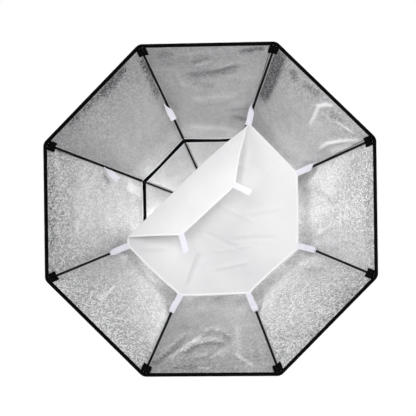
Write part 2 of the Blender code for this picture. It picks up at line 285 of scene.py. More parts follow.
def stitch_row(name, path, normals, look, pitch=0.0042, length=0.0030, width=0.0008):
    """A row of sewn stitches: short rounded bars of thread lying on a path."""
    steps = np.linalg.norm(np.diff(path, axis=0), axis=1)
    distance = np.concatenate([[0.0], np.cumsum(steps)])
    count = max(2, int(distance[-1] / pitch))
    places = (np.arange(count) + 0.5) * distance[-1] / count

    def along(values, where):
        return np.stack([np.interp(where, distance, values[:, k]) for k in range(3)], axis=1)

    middle = along(path, places)
    direction = unit(along(path, places + length / 2) - along(path, places - length / 2))
    up = unit(along(normals, places))
    side = np.cross(direction, up)
    shape = [(-0.5, 0, -0.2), (0.5, 0, -0.2)]
    for end in (-0.28, 0.28):
        shape += [(end, 0.5, 0.0), (end, 0.0, 0.6), (end, -0.5, 0.0), (end, 0.0, -0.6)]
    shape = np.array(shape) * np.array([length, width, width])
    points = (middle[:, None] + direction[:, None] * shape[None, :, :1]
              + side[:, None] * shape[None, :, 1:2] + up[:, None] * shape[None, :, 2:])
    pattern = []
    for corner in range(4):
        follow = (corner + 1) % 4
        pattern.append((0, 2 + follow, 2 + corner))
        pattern.append((2 + corner, 2 + follow, 6 + follow, 6 + corner))
        pattern.append((1, 6 + corner, 6 + follow))
    faces = [tuple(10 * k + i for i in face) for k in range(count) for face in pattern]
    mesh = bpy.data.meshes.new(name)
    mesh.from_pydata(points.reshape(-1, 3).tolist(), [], faces)
    mesh.shade_smooth()
    return link(bpy.data.objects.new(name, mesh), look)


def placed(obj, body, slot, *nodes):
    if nodes:
        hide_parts(*nodes)
    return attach(obj, body)


def joined(name, objects):
    """One mesh object from several that share a material."""
    bpy.ops.object.select_all(action="DESELECT")
    for obj in objects:
        obj.select_set(True)
    bpy.context.view_layer.objects.active = objects[0]
    if len(objects) > 1:
        bpy.ops.object.join()
    objects[0].name = name
    objects[0].data.name = name
    return objects[0]


# ------------------------------------------------ materials

class Finish:
    """A node material under construction, round one Principled shader."""

    def __init__(self, name, **sockets):
        self.material = bpy.data.materials.new(name)
        self.material.use_nodes = True
        self.tree = self.material.node_tree
        self.surface = self.tree.nodes["Principled BSDF"]
        for label, value in sockets.items():
            self.surface.inputs[label.replace("_", " ")].default_value = value

    def add(self, kind, inputs=None, **settings):
        node = self.tree.nodes.new("ShaderNode" + kind)
        for key, value in settings.items():
            setattr(node, key, value)
        for key, value in (inputs or {}).items():
            self.feed(node.inputs[key], value)
        return node

    def feed(self, socket, value):
        if isinstance(value, bpy.types.NodeSocket):
            self.tree.links.new(value, socket)
        else:
            socket.default_value = value

    def place(self, kind="Object"):
        if kind == "weave":
            return self.add("UVMap", uv_map="weave").outputs["UV"]
        return self.add("TexCoord").outputs[kind]

    def scaled(self, vector, factors):
        return self.add("Mapping", {"Vector": vector, "Scale": factors}).outputs["Vector"]

    def noise(self, scale, detail=3.0, roughness=0.5, at=None):
        inputs = {"Scale": scale, "Detail": detail, "Roughness": roughness}
        inputs["Vector"] = at if at is not None else self.place()
        return self.add("TexNoise", inputs).outputs["Fac"]

    def cells(self, scale, feature="F1", at=None, output="Distance"):
        inputs = {"Scale": scale, "Vector": at if at is not None else self.place()}
        return self.add("TexVoronoi", inputs, feature=feature).outputs[output]

    def maths(self, operation, first, second=0.0, clamp=False):
        node = self.add("Math", operation=operation, use_clamp=clamp)
        self.feed(node.inputs[0], first)
        self.feed(node.inputs[1], second)
        return node.outputs[0]

    def span(self, value, low, high, to_low=0.0, to_high=1.0):
        inputs = {"Value": value, "From Min": low, "From Max": high,
                  "To Min": to_low, "To Max": to_high}
        return self.add("MapRange", inputs).outputs["Result"]

    def ramp(self, value, stops):
        node = self.add("ValToRGB", {"Fac": value})
        elements = node.color_ramp.elements
        while len(elements) < len(stops):
            elements.new(0.5)
        for element, (position, colour) in zip(elements, stops):
            element.position = position
            element.color = (*colour, 1.0)
        return node.outputs["Color"]

    def mix(self, share, first, second, blend="MIX"):
        node = self.add("MixRGB", blend_type=blend)
        for socket, value in zip(node.inputs, (share, first, second)):
            if isinstance(value, tuple):
                value = (*value, 1.0)
            self.feed(socket, value)
        return node.outputs["Color"]

    def bump(self, height, distance, strength=1.0, over=None):
        inputs = {"Height": height, "Distance": distance, "Strength": strength}
        if over is not None:
            inputs["Normal"] = over
        return self.add("Bump", inputs).outputs["Normal"]

    def threads(self, vector, axis, period):
        """A rounded thread profile from 0 to 1 across one axis of a metre map."""
        parts = self.add("SeparateXYZ", {"Vector": vector}).outputs
        turned = self.maths("MULTIPLY", parts["XYZ".index(axis)], 2 * pi / period)
        return self.maths("MULTIPLY_ADD", self.maths("SINE", turned), 0.5)

    def weave(self, vector, period):
        """Over-and-under threads of a plain weave."""
        parts = self.add("SeparateXYZ", {"Vector": vector}).outputs
        first = self.maths("SINE", self.maths("MULTIPLY", parts[0], 2 * pi / period))
        second = self.maths("SINE", self.maths("MULTIPLY", parts[1], 2 * pi / period))
        return self.maths("MULTIPLY", first, second)

    def finish(self, colour=None, roughness=None, normal=None, metallic=None):
        wanted = {"Base Color": colour, "Roughness": roughness, "Normal": normal,
                  "Metallic": metallic}
        for label, value in wanted.items():
            if value is not None:
                self.feed(self.surface.inputs[label], value)
        return self.material


def silver_lining():
    """Pebbled, metallised cloth. Its grain is coarser and rougher towards the rim."""
    look = Finish("silver_lining", Specular_IOR_Level=0.5)
    uv = look.place("weave")
    patch = look.noise(48.0, 3.0, 0.6)
    coarse = look.add("Attribute", attribute_name="grain").outputs["Fac"]
    pebbles = look.cells(290.0, "SMOOTH_F1")
    # Each pebble's random tone is partly its grain and partly a painted glint and shade for how
    # its tilt catches the light.
    pebble_glint = look.add("SeparateColor", {"Color": look.cells(290.0, output="Color")}).outputs[0]
    grain = look.noise(560.0, 4.0, 0.6)
    weave = look.weave(uv, 0.0011)
    # This attribute carries painted light and shade: painted shade in fold valleys and dark
    # bands, painted highlights on ridges and seam edges, and whole panels painted lighter or
    # darker.
    fold = look.add("Attribute", attribute_name="painted_light_tone").outputs["Fac"]
    speckle = look.maths("MULTIPLY", look.span(pebble_glint, 0.0, 1.0, -0.32, 0.32), coarse)
    shade = look.maths("ADD", speckle, look.span(patch, 0.3, 0.7, 0.56, 0.64))
    shade = look.maths("ADD", shade, look.span(fold, -1.0, 1.0, -0.5, 0.5))
    colour = look.ramp(shade, [(0.10, (0.14, 0.14, 0.146)), (0.36, (0.40, 0.40, 0.406)),
                               (0.60, (0.61, 0.61, 0.614)), (0.92, (0.94, 0.94, 0.944))])
    height = look.maths("ADD", pebbles, look.maths("MULTIPLY", grain, 0.5))
    height = look.maths("MULTIPLY", height, coarse)
    normal = look.bump(height, 0.0030, 0.9)
    normal = look.bump(weave, 0.00008, 0.5, normal)
    roughness = look.span(grain, 0.25, 0.75, 0.28, 0.46)
    return look.finish(colour, roughness, normal, 0.85)


def black_nylon():
    """Outer cloth: coated ripstop, with a 5 mm grid of heavier threads and faint scuffs."""
    look = Finish("black_nylon", Specular_IOR_Level=0.25, Sheen_Weight=0.05,
                  Sheen_Roughness=0.45)
    uv = look.place("weave")
    weave = look.weave(uv, 0.0008)
    parts = look.add("SeparateXYZ", {"Vector": uv}).outputs
    grid = []
    for part in parts[:2]:
        place = look.maths("FRACT", look.maths("MULTIPLY", part, 200.0))
        grid.append(look.maths("COMPARE", place, 0.5))
        grid[-1].node.inputs[2].default_value = 0.08
    rip = look.maths("MAXIMUM", grid[0], grid[1])
    scuff = look.noise(30.0, 5.0, 0.65)
    dust = look.noise(7.0, 3.0, 0.5)
    colour = look.ramp(look.maths("ADD", look.maths("MULTIPLY", scuff, 0.6),
                                  look.maths("MULTIPLY", dust, 0.4)),
                       [(0.32, (0.010, 0.010, 0.012)), (0.55, (0.017, 0.017, 0.019)),
                        (0.75, (0.034, 0.034, 0.037))])
    colour = look.mix(look.maths("MULTIPLY", rip, 0.35), colour, (0.045, 0.045, 0.048))
    height = look.maths("MULTIPLY_ADD", rip, 1.4)
    look.feed(height.node.inputs[2], weave)
    normal = look.bump(height, 0.00018, 0.8)
    normal = look.bump(look.noise(60.0, 3.0), 0.0012, 0.35, normal)
    return look.finish(colour, look.span(scuff, 0.3, 0.7, 0.52, 0.72), normal)


def black_tape():
    """Grosgrain binding tape: ribs across its width, slightly greyed where it rubs."""
    look = Finish("black_tape", Specular_IOR_Level=0.03)
    uv = look.place("weave")
    ribs = look.threads(uv, "Y", 0.0009)
    weave = look.weave(uv, 0.0007)
    wear = look.noise(120.0, 5.0, 0.7)
    colour = look.ramp(wear, [(0.35, (0.0010, 0.0010, 0.0011)), (0.6, (0.0022, 0.0022, 0.0024)),
                              (0.8, (0.016, 0.016, 0.017))])
    height = look.maths("ADD", ribs, look.maths("MULTIPLY", weave, 0.35))
    normal = look.bump(height, 0.00025, 0.8)
    normal = look.bump(look.noise(45.0, 3.0), 0.001, 0.3, normal)
    return look.finish(colour, look.span(wear, 0.3, 0.7, 0.62, 0.82), normal)


def diffuser_cloth():
    """Thin white polyester: a fine weave, soft pressed creases and a trace of blue."""
    look = Finish("diffuser_cloth", Specular_IOR_Level=0.25, Sheen_Weight=0.12,
                  Sheen_Roughness=0.6)
    uv = look.place("weave")
    weave = look.weave(uv, 0.0009)
    slub = look.noise(1.0, 3.0, 0.6, look.scaled(uv, (900.0, 60.0, 1.0)))
    cloud = look.noise(1.0, 3.0, 0.5, look.scaled(uv, (11.0, 11.0, 1.0)))
    press = look.noise(1.0, 4.0, 0.55, look.scaled(uv, (38.0, 52.0, 1.0)))
    colour = look.ramp(cloud, [(0.30, (0.775, 0.775, 0.790)), (0.52, (0.820, 0.820, 0.826)),
                               (0.72, (0.848, 0.848, 0.846))])
    # Painted light: this attribute whitens the sheet under the flap's shadow, towards the right,
    # and on the flap.
    painted_glow = look.add("Attribute", attribute_name="painted_glow").outputs["Fac"]
    colour = look.mix(painted_glow, colour, (0.965, 0.965, 0.965))
    colour = look.mix(look.maths("MULTIPLY", slub, 0.10), colour, (0.72, 0.72, 0.75))
    height = look.maths("ADD", look.maths("MULTIPLY", weave, 0.5), slub)
    normal = look.bump(height, 0.00010, 0.6)
    normal = look.bump(press, 0.0020, 0.50, normal)
    return look.finish(colour, look.span(slub, 0.3, 0.7, 0.66, 0.80), normal)


def white_hem():
    """The diffuser's folded edge tape, whiter and ribbed."""
    look = Finish("white_hem", Specular_IOR_Level=0.3, Sheen_Weight=0.15, Sheen_Roughness=0.5)
    uv = look.place("weave")
    ribs = look.threads(uv, "Y", 0.0010)
    tone = look.noise(160.0, 4.0, 0.6)
    colour = look.ramp(tone, [(0.3, (0.95, 0.95, 0.965)), (0.6, (0.985, 0.985, 0.99)),
                              (0.8, (1.0, 1.0, 1.0))])
    return look.finish(colour, look.span(tone, 0.3, 0.7, 0.60, 0.74),
                       look.bump(ribs, 0.00018, 0.7))


def white_webbing():
    """Hook-and-loop tape: a woven ground with a low, fuzzy pile and a lilac cast."""
    look = Finish("white_webbing", Specular_IOR_Level=0.25, Sheen_Weight=0.35,
                  Sheen_Roughness=0.55)
    uv = look.place("weave")
    loops = look.cells(1400.0, "SMOOTH_F1")
    weave = look.weave(uv, 0.0012)
    tone = look.noise(210.0, 5.0, 0.65)
    colour = look.ramp(tone, [(0.30, (0.840, 0.825, 0.930)), (0.55, (0.900, 0.885, 0.965)),
                              (0.75, (0.945, 0.935, 0.980))])
    height = look.maths("ADD", loops, look.maths("MULTIPLY", weave, 0.3))
    normal = look.bump(height, 0.0004, 0.7)
    return look.finish(colour, look.span(tone, 0.3, 0.7, 0.74, 0.88), normal)


def black_thread():
    """Sewing thread, twisted."""
    look = Finish("black_thread", Specular_IOR_Level=0.35)
    tone = look.noise(1800.0, 2.0)
    twist = look.noise(3600.0, 1.0)
    colour = look.ramp(tone, [(0.35, (0.004, 0.004, 0.005)), (0.65, (0.018, 0.018, 0.019))])
    return look.finish(colour, look.span(tone, 0.3, 0.7, 0.45, 0.65),
                       look.bump(twist, 0.0002, 0.6))


def coated_steel():
    """Rods: black coating with fine draw marks and a few rubbed spots."""
    look = Finish("coated_steel", Specular_IOR_Level=0.15)
    marks = look.noise(1.0, 3.0, 0.6, look.scaled(look.place("weave"), (900.0, 25.0, 1.0)))
    rub = look.noise(95.0, 5.0, 0.7)
    colour = look.ramp(rub, [(0.45, (0.002, 0.002, 0.002)), (0.66, (0.005, 0.005, 0.005)),
                             (0.82, (0.060, 0.058, 0.056))])
    return look.finish(colour, look.span(marks, 0.3, 0.7, 0.34, 0.52),
                       look.bump(marks, 0.00006, 0.6), look.span(rub, 0.70, 0.80, 0.0, 0.6))


def cast_alloy():
    """Speedring: powder-coated casting, bare on the rubbed high spots."""
    look = Finish("cast_alloy", Specular_IOR_Level=0.5)
    texture = look.noise(900.0, 4.0, 0.6)
    rub = look.noise(38.0, 6.0, 0.72)
    colour = look.ramp(rub, [(0.40, (0.020, 0.020, 0.022)), (0.62, (0.040, 0.040, 0.043)),
                             (0.74, (0.075, 0.075, 0.078)), (0.80, (0.38, 0.38, 0.39))])
    roughness = look.span(texture, 0.3, 0.7, 0.42, 0.60)
    return look.finish(colour, roughness, look.bump(texture, 0.0003, 0.5),
                       look.span(rub, 0.72, 0.80, 0.15, 0.9))


def bright_alloy():
    """Insert, hub and ring: turned aluminium with tool rings, smudges and light scratches."""
    look = Finish("bright_alloy", Specular_IOR_Level=0.5)
    place = look.add("SeparateXYZ", {"Vector": look.place()}).outputs
    radius = look.maths("SQRT", look.maths("ADD", look.maths("MULTIPLY", place[0], place[0]),
                                           look.maths("MULTIPLY", place[2], place[2])))
    rings = look.maths("SINE", look.maths("MULTIPLY", radius, 2 * pi / 0.0006))
    smudge = look.noise(28.0, 5.0, 0.6)
    scratch = look.noise(1.0, 6.0, 0.75, look.scaled(look.place(), (40.0, 40.0, 900.0)))
    colour = look.ramp(smudge, [(0.30, (0.50, 0.50, 0.51)), (0.60, (0.66, 0.66, 0.67)),
                                (0.80, (0.74, 0.74, 0.74))])
    roughness = look.maths("ADD", look.span(smudge, 0.3, 0.7, 0.26, 0.40),
                           look.span(scratch, 0.55, 0.75, 0.0, 0.15))
    normal = look.bump(rings, 0.00003, 0.5)
    normal = look.bump(scratch, 0.0001, 0.3, normal)
    return look.finish(colour, roughness, normal, 1.0)


def black_plastic():
    """Knobs: moulded plastic with a spark-eroded grain."""
    look = Finish("black_plastic", Specular_IOR_Level=0.45)
    grain = look.noise(1500.0, 3.0, 0.6)
    wear = look.noise(160.0, 4.0, 0.6)
    colour = look.ramp(wear, [(0.35, (0.014, 0.014, 0.015)), (0.65, (0.024, 0.024, 0.025)),
                              (0.8, (0.050, 0.050, 0.050))])
    return look.finish(colour, look.span(wear, 0.3, 0.7, 0.40, 0.56),
                       look.bump(grain, 0.0002, 0.5))


def floor_paint():
    look = Finish("floor_paint", Specular_IOR_Level=0.1)
    tone = look.noise(1.5, 4.0, 0.5)
    colour = look.ramp(tone, [(0.3, (0.86, 0.86, 0.87)), (0.7, (0.90, 0.90, 0.905))])
    return look.finish(colour, look.span(tone, 0.3, 0.7, 0.85, 0.95),
                       look.bump(look.noise(220.0, 2.0), 0.0005, 0.15))


SILVER = silver_lining()
NYLON = black_nylon()
TAPE = black_tape()
CLOTH = diffuser_cloth()
HEM = white_hem()
WEBBING = white_webbing()
BLACK_THREAD = black_thread()
STEEL = coated_steel()
CAST = cast_alloy()
BRIGHT = bright_alloy()
PLASTIC = black_plastic()

# ------------------------------------------------ shell panels

LINING_LIFT = -0.0040           # the lining's face, behind the rods
CLOTH_THICK = 0.0007


def panel_grid(number, first, last, rows, columns, lift=LINING_LIFT):
    """Flat-across panel between two ribs. Rows run outward, and columns from rib to rib."""
    stations = np.linspace(first, last, rows)
    shares = np.linspace(0.0, 1.0, columns)
    start = np.array([rib_point(number - 1, station, lift) for station in stations])
    end = np.array([rib_point(number, station, lift) for station in stations])
    return start[:, None] * (1 - shares[None, :, None]) + end[:, None] * shares[None, :, None]


def inward_normals(points):
    normals = grid_normals(points)
    middle = points[points.shape[0] // 2, points.shape[1] // 2]
    inward = FORWARD - unit(middle * IN_PLANE)
    if (normals[points.shape[0] // 2, points.shape[1] // 2] * inward).sum() < 0:
        normals = -normals
    return normals


def fold_profile(flat, spots, width):
    """1 on a line of flat spots, falling to 0 at this distance from it and at its two ends."""
    spots = np.array(spots, float)
    lengths = np.linalg.norm(np.diff(spots, axis=0), axis=1)
    nearest = np.full(flat.shape[:-1], 1e9)
    travel = np.zeros(flat.shape[:-1])
    before = 0.0
    for first, last, length in zip(spots[:-1], spots[1:], lengths):
        direction = (last - first) / length
        reach = ((flat - first) * direction).sum(axis=-1)
        held = np.clip(reach, 0, length)
        gap = np.linalg.norm(flat - first - held[..., None] * direction, axis=-1)
        closer = gap < nearest
        nearest = np.where(closer, gap, nearest)
        travel = np.where(closer, before + held, travel)
        before += length
    share = travel / before
    window = smooth_step(share / 0.22 + 0.25) * smooth_step((1 - share) / 0.22 + 0.25)
    power = 2 if width < 0.0118 else 5
    return np.exp(-(nearest / width) ** power) * window


# Folds of each side panel: a line of flat (across, outward) spots, width, height and tone, where
# tone is painted light and shade, from -1 for painted shade in a valley to 1 for a painted
# highlight on a ridge; folds of no height are bands of painted shade alone. Across counts from
# the panel's middle towards its own rib, and outward from the seam.
SIDE_FOLDS = {
    1: [
        ([(-0.080, 0.110), (-0.020, 0.240)], 0.007, 0.0014, 0.15),
        ([(0.060, 0.070), (0.020, 0.180)], 0.008, -0.0014, -0.10),
        ([(-0.120, 0.310), (0.120, 0.310)], 0.011, 0.0, -0.16),
    ],
    2: [
        ([(-0.030, 0.205), (-0.025, 0.240), (-0.015, 0.275), (-0.025, 0.300), (-0.045, 0.315)],
         0.0060, 0.0045, 1.0),
        ([(-0.070, 0.280), (-0.135, 0.295)], 0.0035, 0.0018, 0.9),
        ([(-0.095, 0.165), (-0.100, 0.200), (-0.125, 0.245), (-0.160, 0.295)],
         0.0060, 0.0030, 0.9),
        ([(-0.120, 0.185), (-0.155, 0.260)], 0.0090, 0.0012, 0.5),
        ([(0.155, 0.325), (0.135, 0.250), (0.110, 0.140)], 0.0200, -0.0030, -0.95),
        ([(0.105, 0.305), (0.070, 0.285)], 0.0120, 0.0, -0.36),
        ([(0.060, 0.300), (-0.005, 0.305)], 0.0130, 0.0, -0.40),
        ([(-0.045, 0.290), (-0.095, 0.290)], 0.0120, -0.0015, -0.34),
    ],
    3: [
        ([(-0.080, 0.305), (-0.155, 0.315)], 0.009, -0.0020, -0.50),
        ([(0.140, 0.300), (0.090, 0.300)], 0.010, -0.0016, -0.22),
        ([(0.100, 0.290), (-0.020, 0.310)], 0.008, 0.0016, 0.12),
        ([(0.055, 0.270), (0.020, 0.275), (-0.005, 0.285)], 0.006, -0.0028, -0.24),
        ([(0.040, 0.260), (-0.010, 0.275)], 0.004, 0.0016, 0.34),
        ([(0.070, 0.220), (0.010, 0.230), (-0.040, 0.235), (-0.085, 0.255)],
         0.0115, -0.0050, -0.34),
        ([(-0.010, 0.245), (-0.070, 0.270)], 0.009, 0.0030, 0.10),
        ([(0.050, 0.200), (0.010, 0.190), (-0.010, 0.185)], 0.0095, -0.0038, -0.20),
        ([(0.090, 0.240), (0.070, 0.180)], 0.010, 0.0024, 0.10),
        ([(-0.050, 0.105), (-0.105, 0.105)], 0.006, -0.0020, -0.26),
        ([(-0.060, 0.085), (-0.100, 0.070)], 0.006, -0.0020, -0.26),
        ([(0.065, 0.055), (-0.055, 0.040)], 0.010, 0.0020, 0.34),
        ([(0.060, 0.150), (-0.070, 0.150)], 0.008, 0.0018, 0.18),
        ([(0.050, 0.120), (-0.050, 0.125)], 0.009, -0.0016, -0.10),
    ],
    4: [
        ([(0.110, 0.315), (-0.120, 0.315)], 0.0100, 0.0, -0.34),
        ([(-0.005, 0.300), (-0.120, 0.320)], 0.0150, -0.0010, -0.34),
        ([(-0.165, 0.300), (-0.150, 0.240), (-0.120, 0.150)], 0.0150, -0.0020, -0.46),
        ([(0.090, 0.270), (0.050, 0.180)], 0.0070, 0.0014, 0.12),
    ],
    5: [
        ([(-0.140, 0.315), (0.130, 0.310)], 0.0110, 0.0, -0.22),
        ([(-0.075, 0.060), (-0.045, 0.005)], 0.0140, 0.0010, 0.45),
        ([(0.080, 0.240), (-0.010, 0.200)], 0.0060, 0.0014, 0.12),
    ],
    6: [
        ([(-0.045, 0.180), (-0.045, 0.260)], 0.0040, 0.0014, 0.55),
        ([(-0.005, 0.090), (0.035, 0.085)], 0.0090, 0.0014, 0.40),
        ([(-0.110, 0.100), (-0.075, 0.090)], 0.0090, 0.0014, 0.60),
        ([(0.100, 0.120), (0.135, 0.240)], 0.0090, 0.0012, 0.22),
    ],
    7: [
        ([(-0.165, 0.300), (-0.120, 0.250), (-0.065, 0.180)], 0.011, -0.0050, -0.40),
        ([(-0.085, 0.260), (-0.045, 0.230), (-0.010, 0.220), (0.040, 0.225)],
         0.011, -0.0050, -0.44),
        ([(-0.120, 0.275), (-0.080, 0.235), (-0.025, 0.190)], 0.006, 0.0028, 0.14),
        ([(-0.030, 0.195), (-0.005, 0.180), (0.030, 0.190), (0.045, 0.215)],
         0.010, -0.0040, -0.36),
        ([(-0.010, 0.275), (0.030, 0.245), (0.055, 0.225)], 0.005, 0.0020, 0.20),
        ([(0.060, 0.255), (0.085, 0.280), (0.110, 0.305)], 0.005, 0.0024, 0.55),
        ([(0.060, 0.160), (0.065, 0.210), (0.070, 0.260)], 0.011, 0.0024, 0.24),
        ([(-0.090, 0.160), (-0.060, 0.170)], 0.008, -0.0020, -0.30),
        ([(-0.110, 0.305), (0.000, 0.300)], 0.008, -0.0020, -0.28),
        ([(-0.040, 0.305), (-0.005, 0.310)], 0.004, 0.0014, 0.70),
        ([(0.000, 0.260), (-0.060, 0.285)], 0.009, -0.0020, -0.16),
        ([(0.110, 0.190), (0.125, 0.280)], 0.010, -0.0020, -0.10),
    ],
    8: [
        ([(-0.070, 0.240), (0.020, 0.140)], 0.0070, 0.0014, 0.14),
        ([(0.110, 0.200), (0.050, 0.100)], 0.0080, -0.0012, -0.10),
        ([(-0.130, 0.315), (0.130, 0.315)], 0.0110, 0.0, -0.16),
    ],
}


# Painted light and shade on each panel's lining: how much lighter or darker it is painted than
# its neighbours', for how the light falls on it.
SIDE_PAINTED_LIGHT = {1: 0.08, 2: 0.04, 3: -0.24, 4: -0.18, 5: 0.0, 6: 0.06, 7: 0.02, 8: -0.02}
REAR_PAINTED_LIGHT = {1: 0.30, 2: 0.20, 3: 0.30, 4: 0.30, 5: 0.60, 6: 0.30, 7: 0.30, 8: 0.30}
# Painted light that makes a side panel lighter beside the seam, and painted shade that makes it
# darker in its outer third.
SEAM_PAINTED_LIGHT = 0.24
RIM_PAINTED_SHADE = {1: 0.10, 2: 0.16, 3: 0.14, 4: 0.14, 5: 0.08, 6: -0.06, 7: 0.26, 8: 0.0}
# How strongly each panel's grain is pressed, from 0 to 1.
GRAIN = {1: 0.60, 2: 0.34, 3: 0.14, 4: 0.34, 5: 0.80, 6: 0.90, 7: 0.34, 8: 0.85}
# Extra grain where painted shade darkens a valley. It is less on the panels whose valleys stay
# smooth.
VALLEY_GRAIN = 0.9
SMOOTH_VALLEY_GRAIN = {2: 0.28, 3: 0.30, 7: 0.30}


def panel_shares(points):
    rows, columns = points.shape[:2]
    across = np.repeat(np.linspace(0, 1, columns)[None], rows, axis=0)
    along = np.repeat(np.linspace(0, 1, rows)[:, None], columns, axis=1)
    return across, along


def panel_relief(number, points, pull, folds, seed):
    """How far each point of a panel stands in from the flat cloth, its tone of painted light and
    shade, and its grain.
    """
    across, along = panel_shares(points)
    flat = metre_uv(points, False, False)
    held = 4 * across * (1 - across)
    relief = pull * held * np.sin(pi * along) ** 0.8
    tone = np.zeros(relief.shape)
    edge = smooth_step(held * 2.2) * smooth_step(np.minimum(along, 1 - along) * 9)
    # Each fold adds relief and a tone of painted light and shade: painted shade in a valley, a
    # painted highlight on a ridge.
    for spots, width, height, shade in folds:
        profile = fold_profile(flat, spots, width)
        relief = relief + height * profile * edge
        tone = tone + shade * profile
    angle = rib_angle(number) * 2.3 + seed
    turned = np.stack([
        flat[..., 0] * cos(angle) - flat[..., 1] * sin(angle),
        flat[..., 0] * sin(angle) + flat[..., 1] * cos(angle),
    ], axis=2)
    broad = noise_at(turned, 0.090, seed + number, (1.0, 0.45))
    fine = noise_at(turned, 0.030, seed + number + 40, (1.0, 0.5))
    ridged = 0.5 - np.abs(noise_at(turned, 0.060, seed + number + 80, (1.0, 0.35)))
    relief = relief + edge * (0.0024 * broad + 0.0008 * fine + 0.0020 * ridged)
    # Painted light and shade that follow the relief noise: lighter where the cloth rises, darker
    # where it sinks.
    tone = tone + 0.10 * broad + 0.16 * (ridged - 0.35)
    rimward = smooth_step((along - 0.30 + 0.35 * broad) / 0.60) ** 1.5
    speckled = SMOOTH_VALLEY_GRAIN.get(number, VALLEY_GRAIN) * np.maximum(-tone, 0)
    grain = 0.10 + GRAIN[number] * (0.30 + 0.70 * rimward) + speckled
    return relief, tone, grain


def paint(obj, name, values):
    layer = obj.data.attributes.new(name, "FLOAT", "POINT")
    layer.data.foreach_set("value", np.clip(values, -1, 1).astype(np.float32).ravel())


def make_panels():
    for kind, first, last, rows, columns, pull, node in (
        ("side_cloth", SEAM[0] + 0.0015, RIM[0] + 0.0030, 92, 92, 0.0080, "side_panel"),
        ("rear_cloth", COLLAR[0] + 0.0015, SEAM[1] - 0.0015, 34, 40, 0.0020, "rear_panel"),
    ):
        for number in RIBS:
            points = panel_grid(number, first, last, rows, columns)
            normals = inward_normals(points)
            folds = SIDE_FOLDS[number] if kind == "side_cloth" else []
            seed = 3 if kind == "side_cloth" else 23
            relief, tone, grain = panel_relief(number, points, pull, folds, seed)
            if kind == "side_cloth":
                along = panel_shares(points)[1]
                # Painted light and shade: inner marks where the panel is painted lighter beside
                # the seam, outer where it is painted darker towards the rim, and each whole panel
                # is painted lighter or darker too.
                outer = smooth_step((along - 0.66) / 0.30)
                inner = smooth_step((0.26 - along) / 0.16)
                tone = tone + SIDE_PAINTED_LIGHT[number] + SEAM_PAINTED_LIGHT * inner
                tone = tone - RIM_PAINTED_SHADE[number] * outer
            else:
                # Painted light on the rear panels.
                tone = tone + REAR_PAINTED_LIGHT[number]
                relief = relief * 0.6
                grain = grain * 0.4
            points = points + normals * relief[..., None]
            panel = grid_piece(f"{kind}_{number}", points, (SILVER, NYLON), flip=True)
            paint(panel, "painted_light_tone", tone)
            paint(panel, "grain", grain)
            facing = np.array(panel.data.polygons[len(panel.data.polygons) // 2].normal)
            if (facing * normals[rows // 2, columns // 2]).sum() < 0:
                panel.data.flip_normals()
            thicken(panel, CLOTH_THICK, outer=1)
            placed(panel, "softbox", "silver_cloth", f"{node}_{number}")
            length = arc_length(first, last)


def arc_length(first, last):
    stations = np.linspace(first, last, 40)
    middle = np.array([beside_rod(station, LINING_LIFT) for station in stations])
    middle[:, 0] *= cos(HALF_SIDE)
    return float(np.linalg.norm(np.diff(middle, axis=0), axis=1).sum())


def rib_strip(name, number, stations, lift, half, look, thickness, shift=0.0):
    """A strip bent over a rib, reaching this far onto the panels at its two sides."""
    shares = np.linspace(-1, 1, 9)
    rows = []
    for station in stations:
        centre = rib_point(number, station, lift)
        sides = [unit(rib_point(number + side, station, lift) - centre) for side in (-1, 1)]
        row = []
        for share in shares:
            reach = share * half + shift
            row.append(centre + sides[int(reach > 0)] * abs(reach))
        rows.append(row)
    strip = grid_piece(name, np.array(rows), (look,))
    thicken(strip, thickness, offset=0.0)
    return strip, np.array(rows)


WELT_HALF = 0.0052              # half widths of what is sewn along each rib
ALLOWANCE_HALF = 0.0058
RIB_TAPE_HALF = 0.0035


def make_rib_seams():
    """Outside, a stitched welt along each rib. Inside, black tape on a silver allowance."""
    whole = np.linspace(COLLAR[1], RIM[0], 90)
    front = np.linspace(SEAM[1] - 0.001, RIM[0], 70)
    front_edge = np.linspace(SEAM[1] + 0.0045, RIM[0], 70)
    rear_edge = np.linspace(COLLAR[1], SEAM[0] - 0.0045, 30)
    for number in RIBS:
        welt, rows = rib_strip(f"rib_welt_{number}", number, whole, SHELL_LIFT - 0.0009,
                               WELT_HALF, NYLON, 0.0010)
        placed(welt, "softbox", "black_nylon")
        sewn = []
        for column in (1, 7):
            out = unit(rows[:, column] * IN_PLANE - FORWARD * 0.3)
            sewn.append(stitch_row("row", rows[:, column] + out * 0.0006, out, BLACK_THREAD))
        placed(joined(f"welt_stitches_{number}", sewn), "softbox", "black_nylon")
        for part, stations in (("front", front_edge), ("rear", rear_edge)):
            allowance, _ = rib_strip(f"rib_allowance_{part}_{number}", number, stations,
                                     LINING_LIFT + 0.0009, ALLOWANCE_HALF, SILVER, 0.0005)
            placed(allowance, "softbox", "silver_cloth")
        tape, _ = rib_strip(f"rib_tape_{number}", number, front, LINING_LIFT + 0.0014,
                            RIB_TAPE_HALF, TAPE, 0.0006)
        placed(tape, "softbox", "black_nylon")


# Ribs whose stitched seam allowance shows beside the rod: side, offset at the rim, inner station.
RIB_EDGES = {1: (1, 0.0085, 0.330), 2: (1, 0.0080, 0.320), 3: (1, 0.0065, 0.370),
             4: (1, 0.0060, 0.350)}


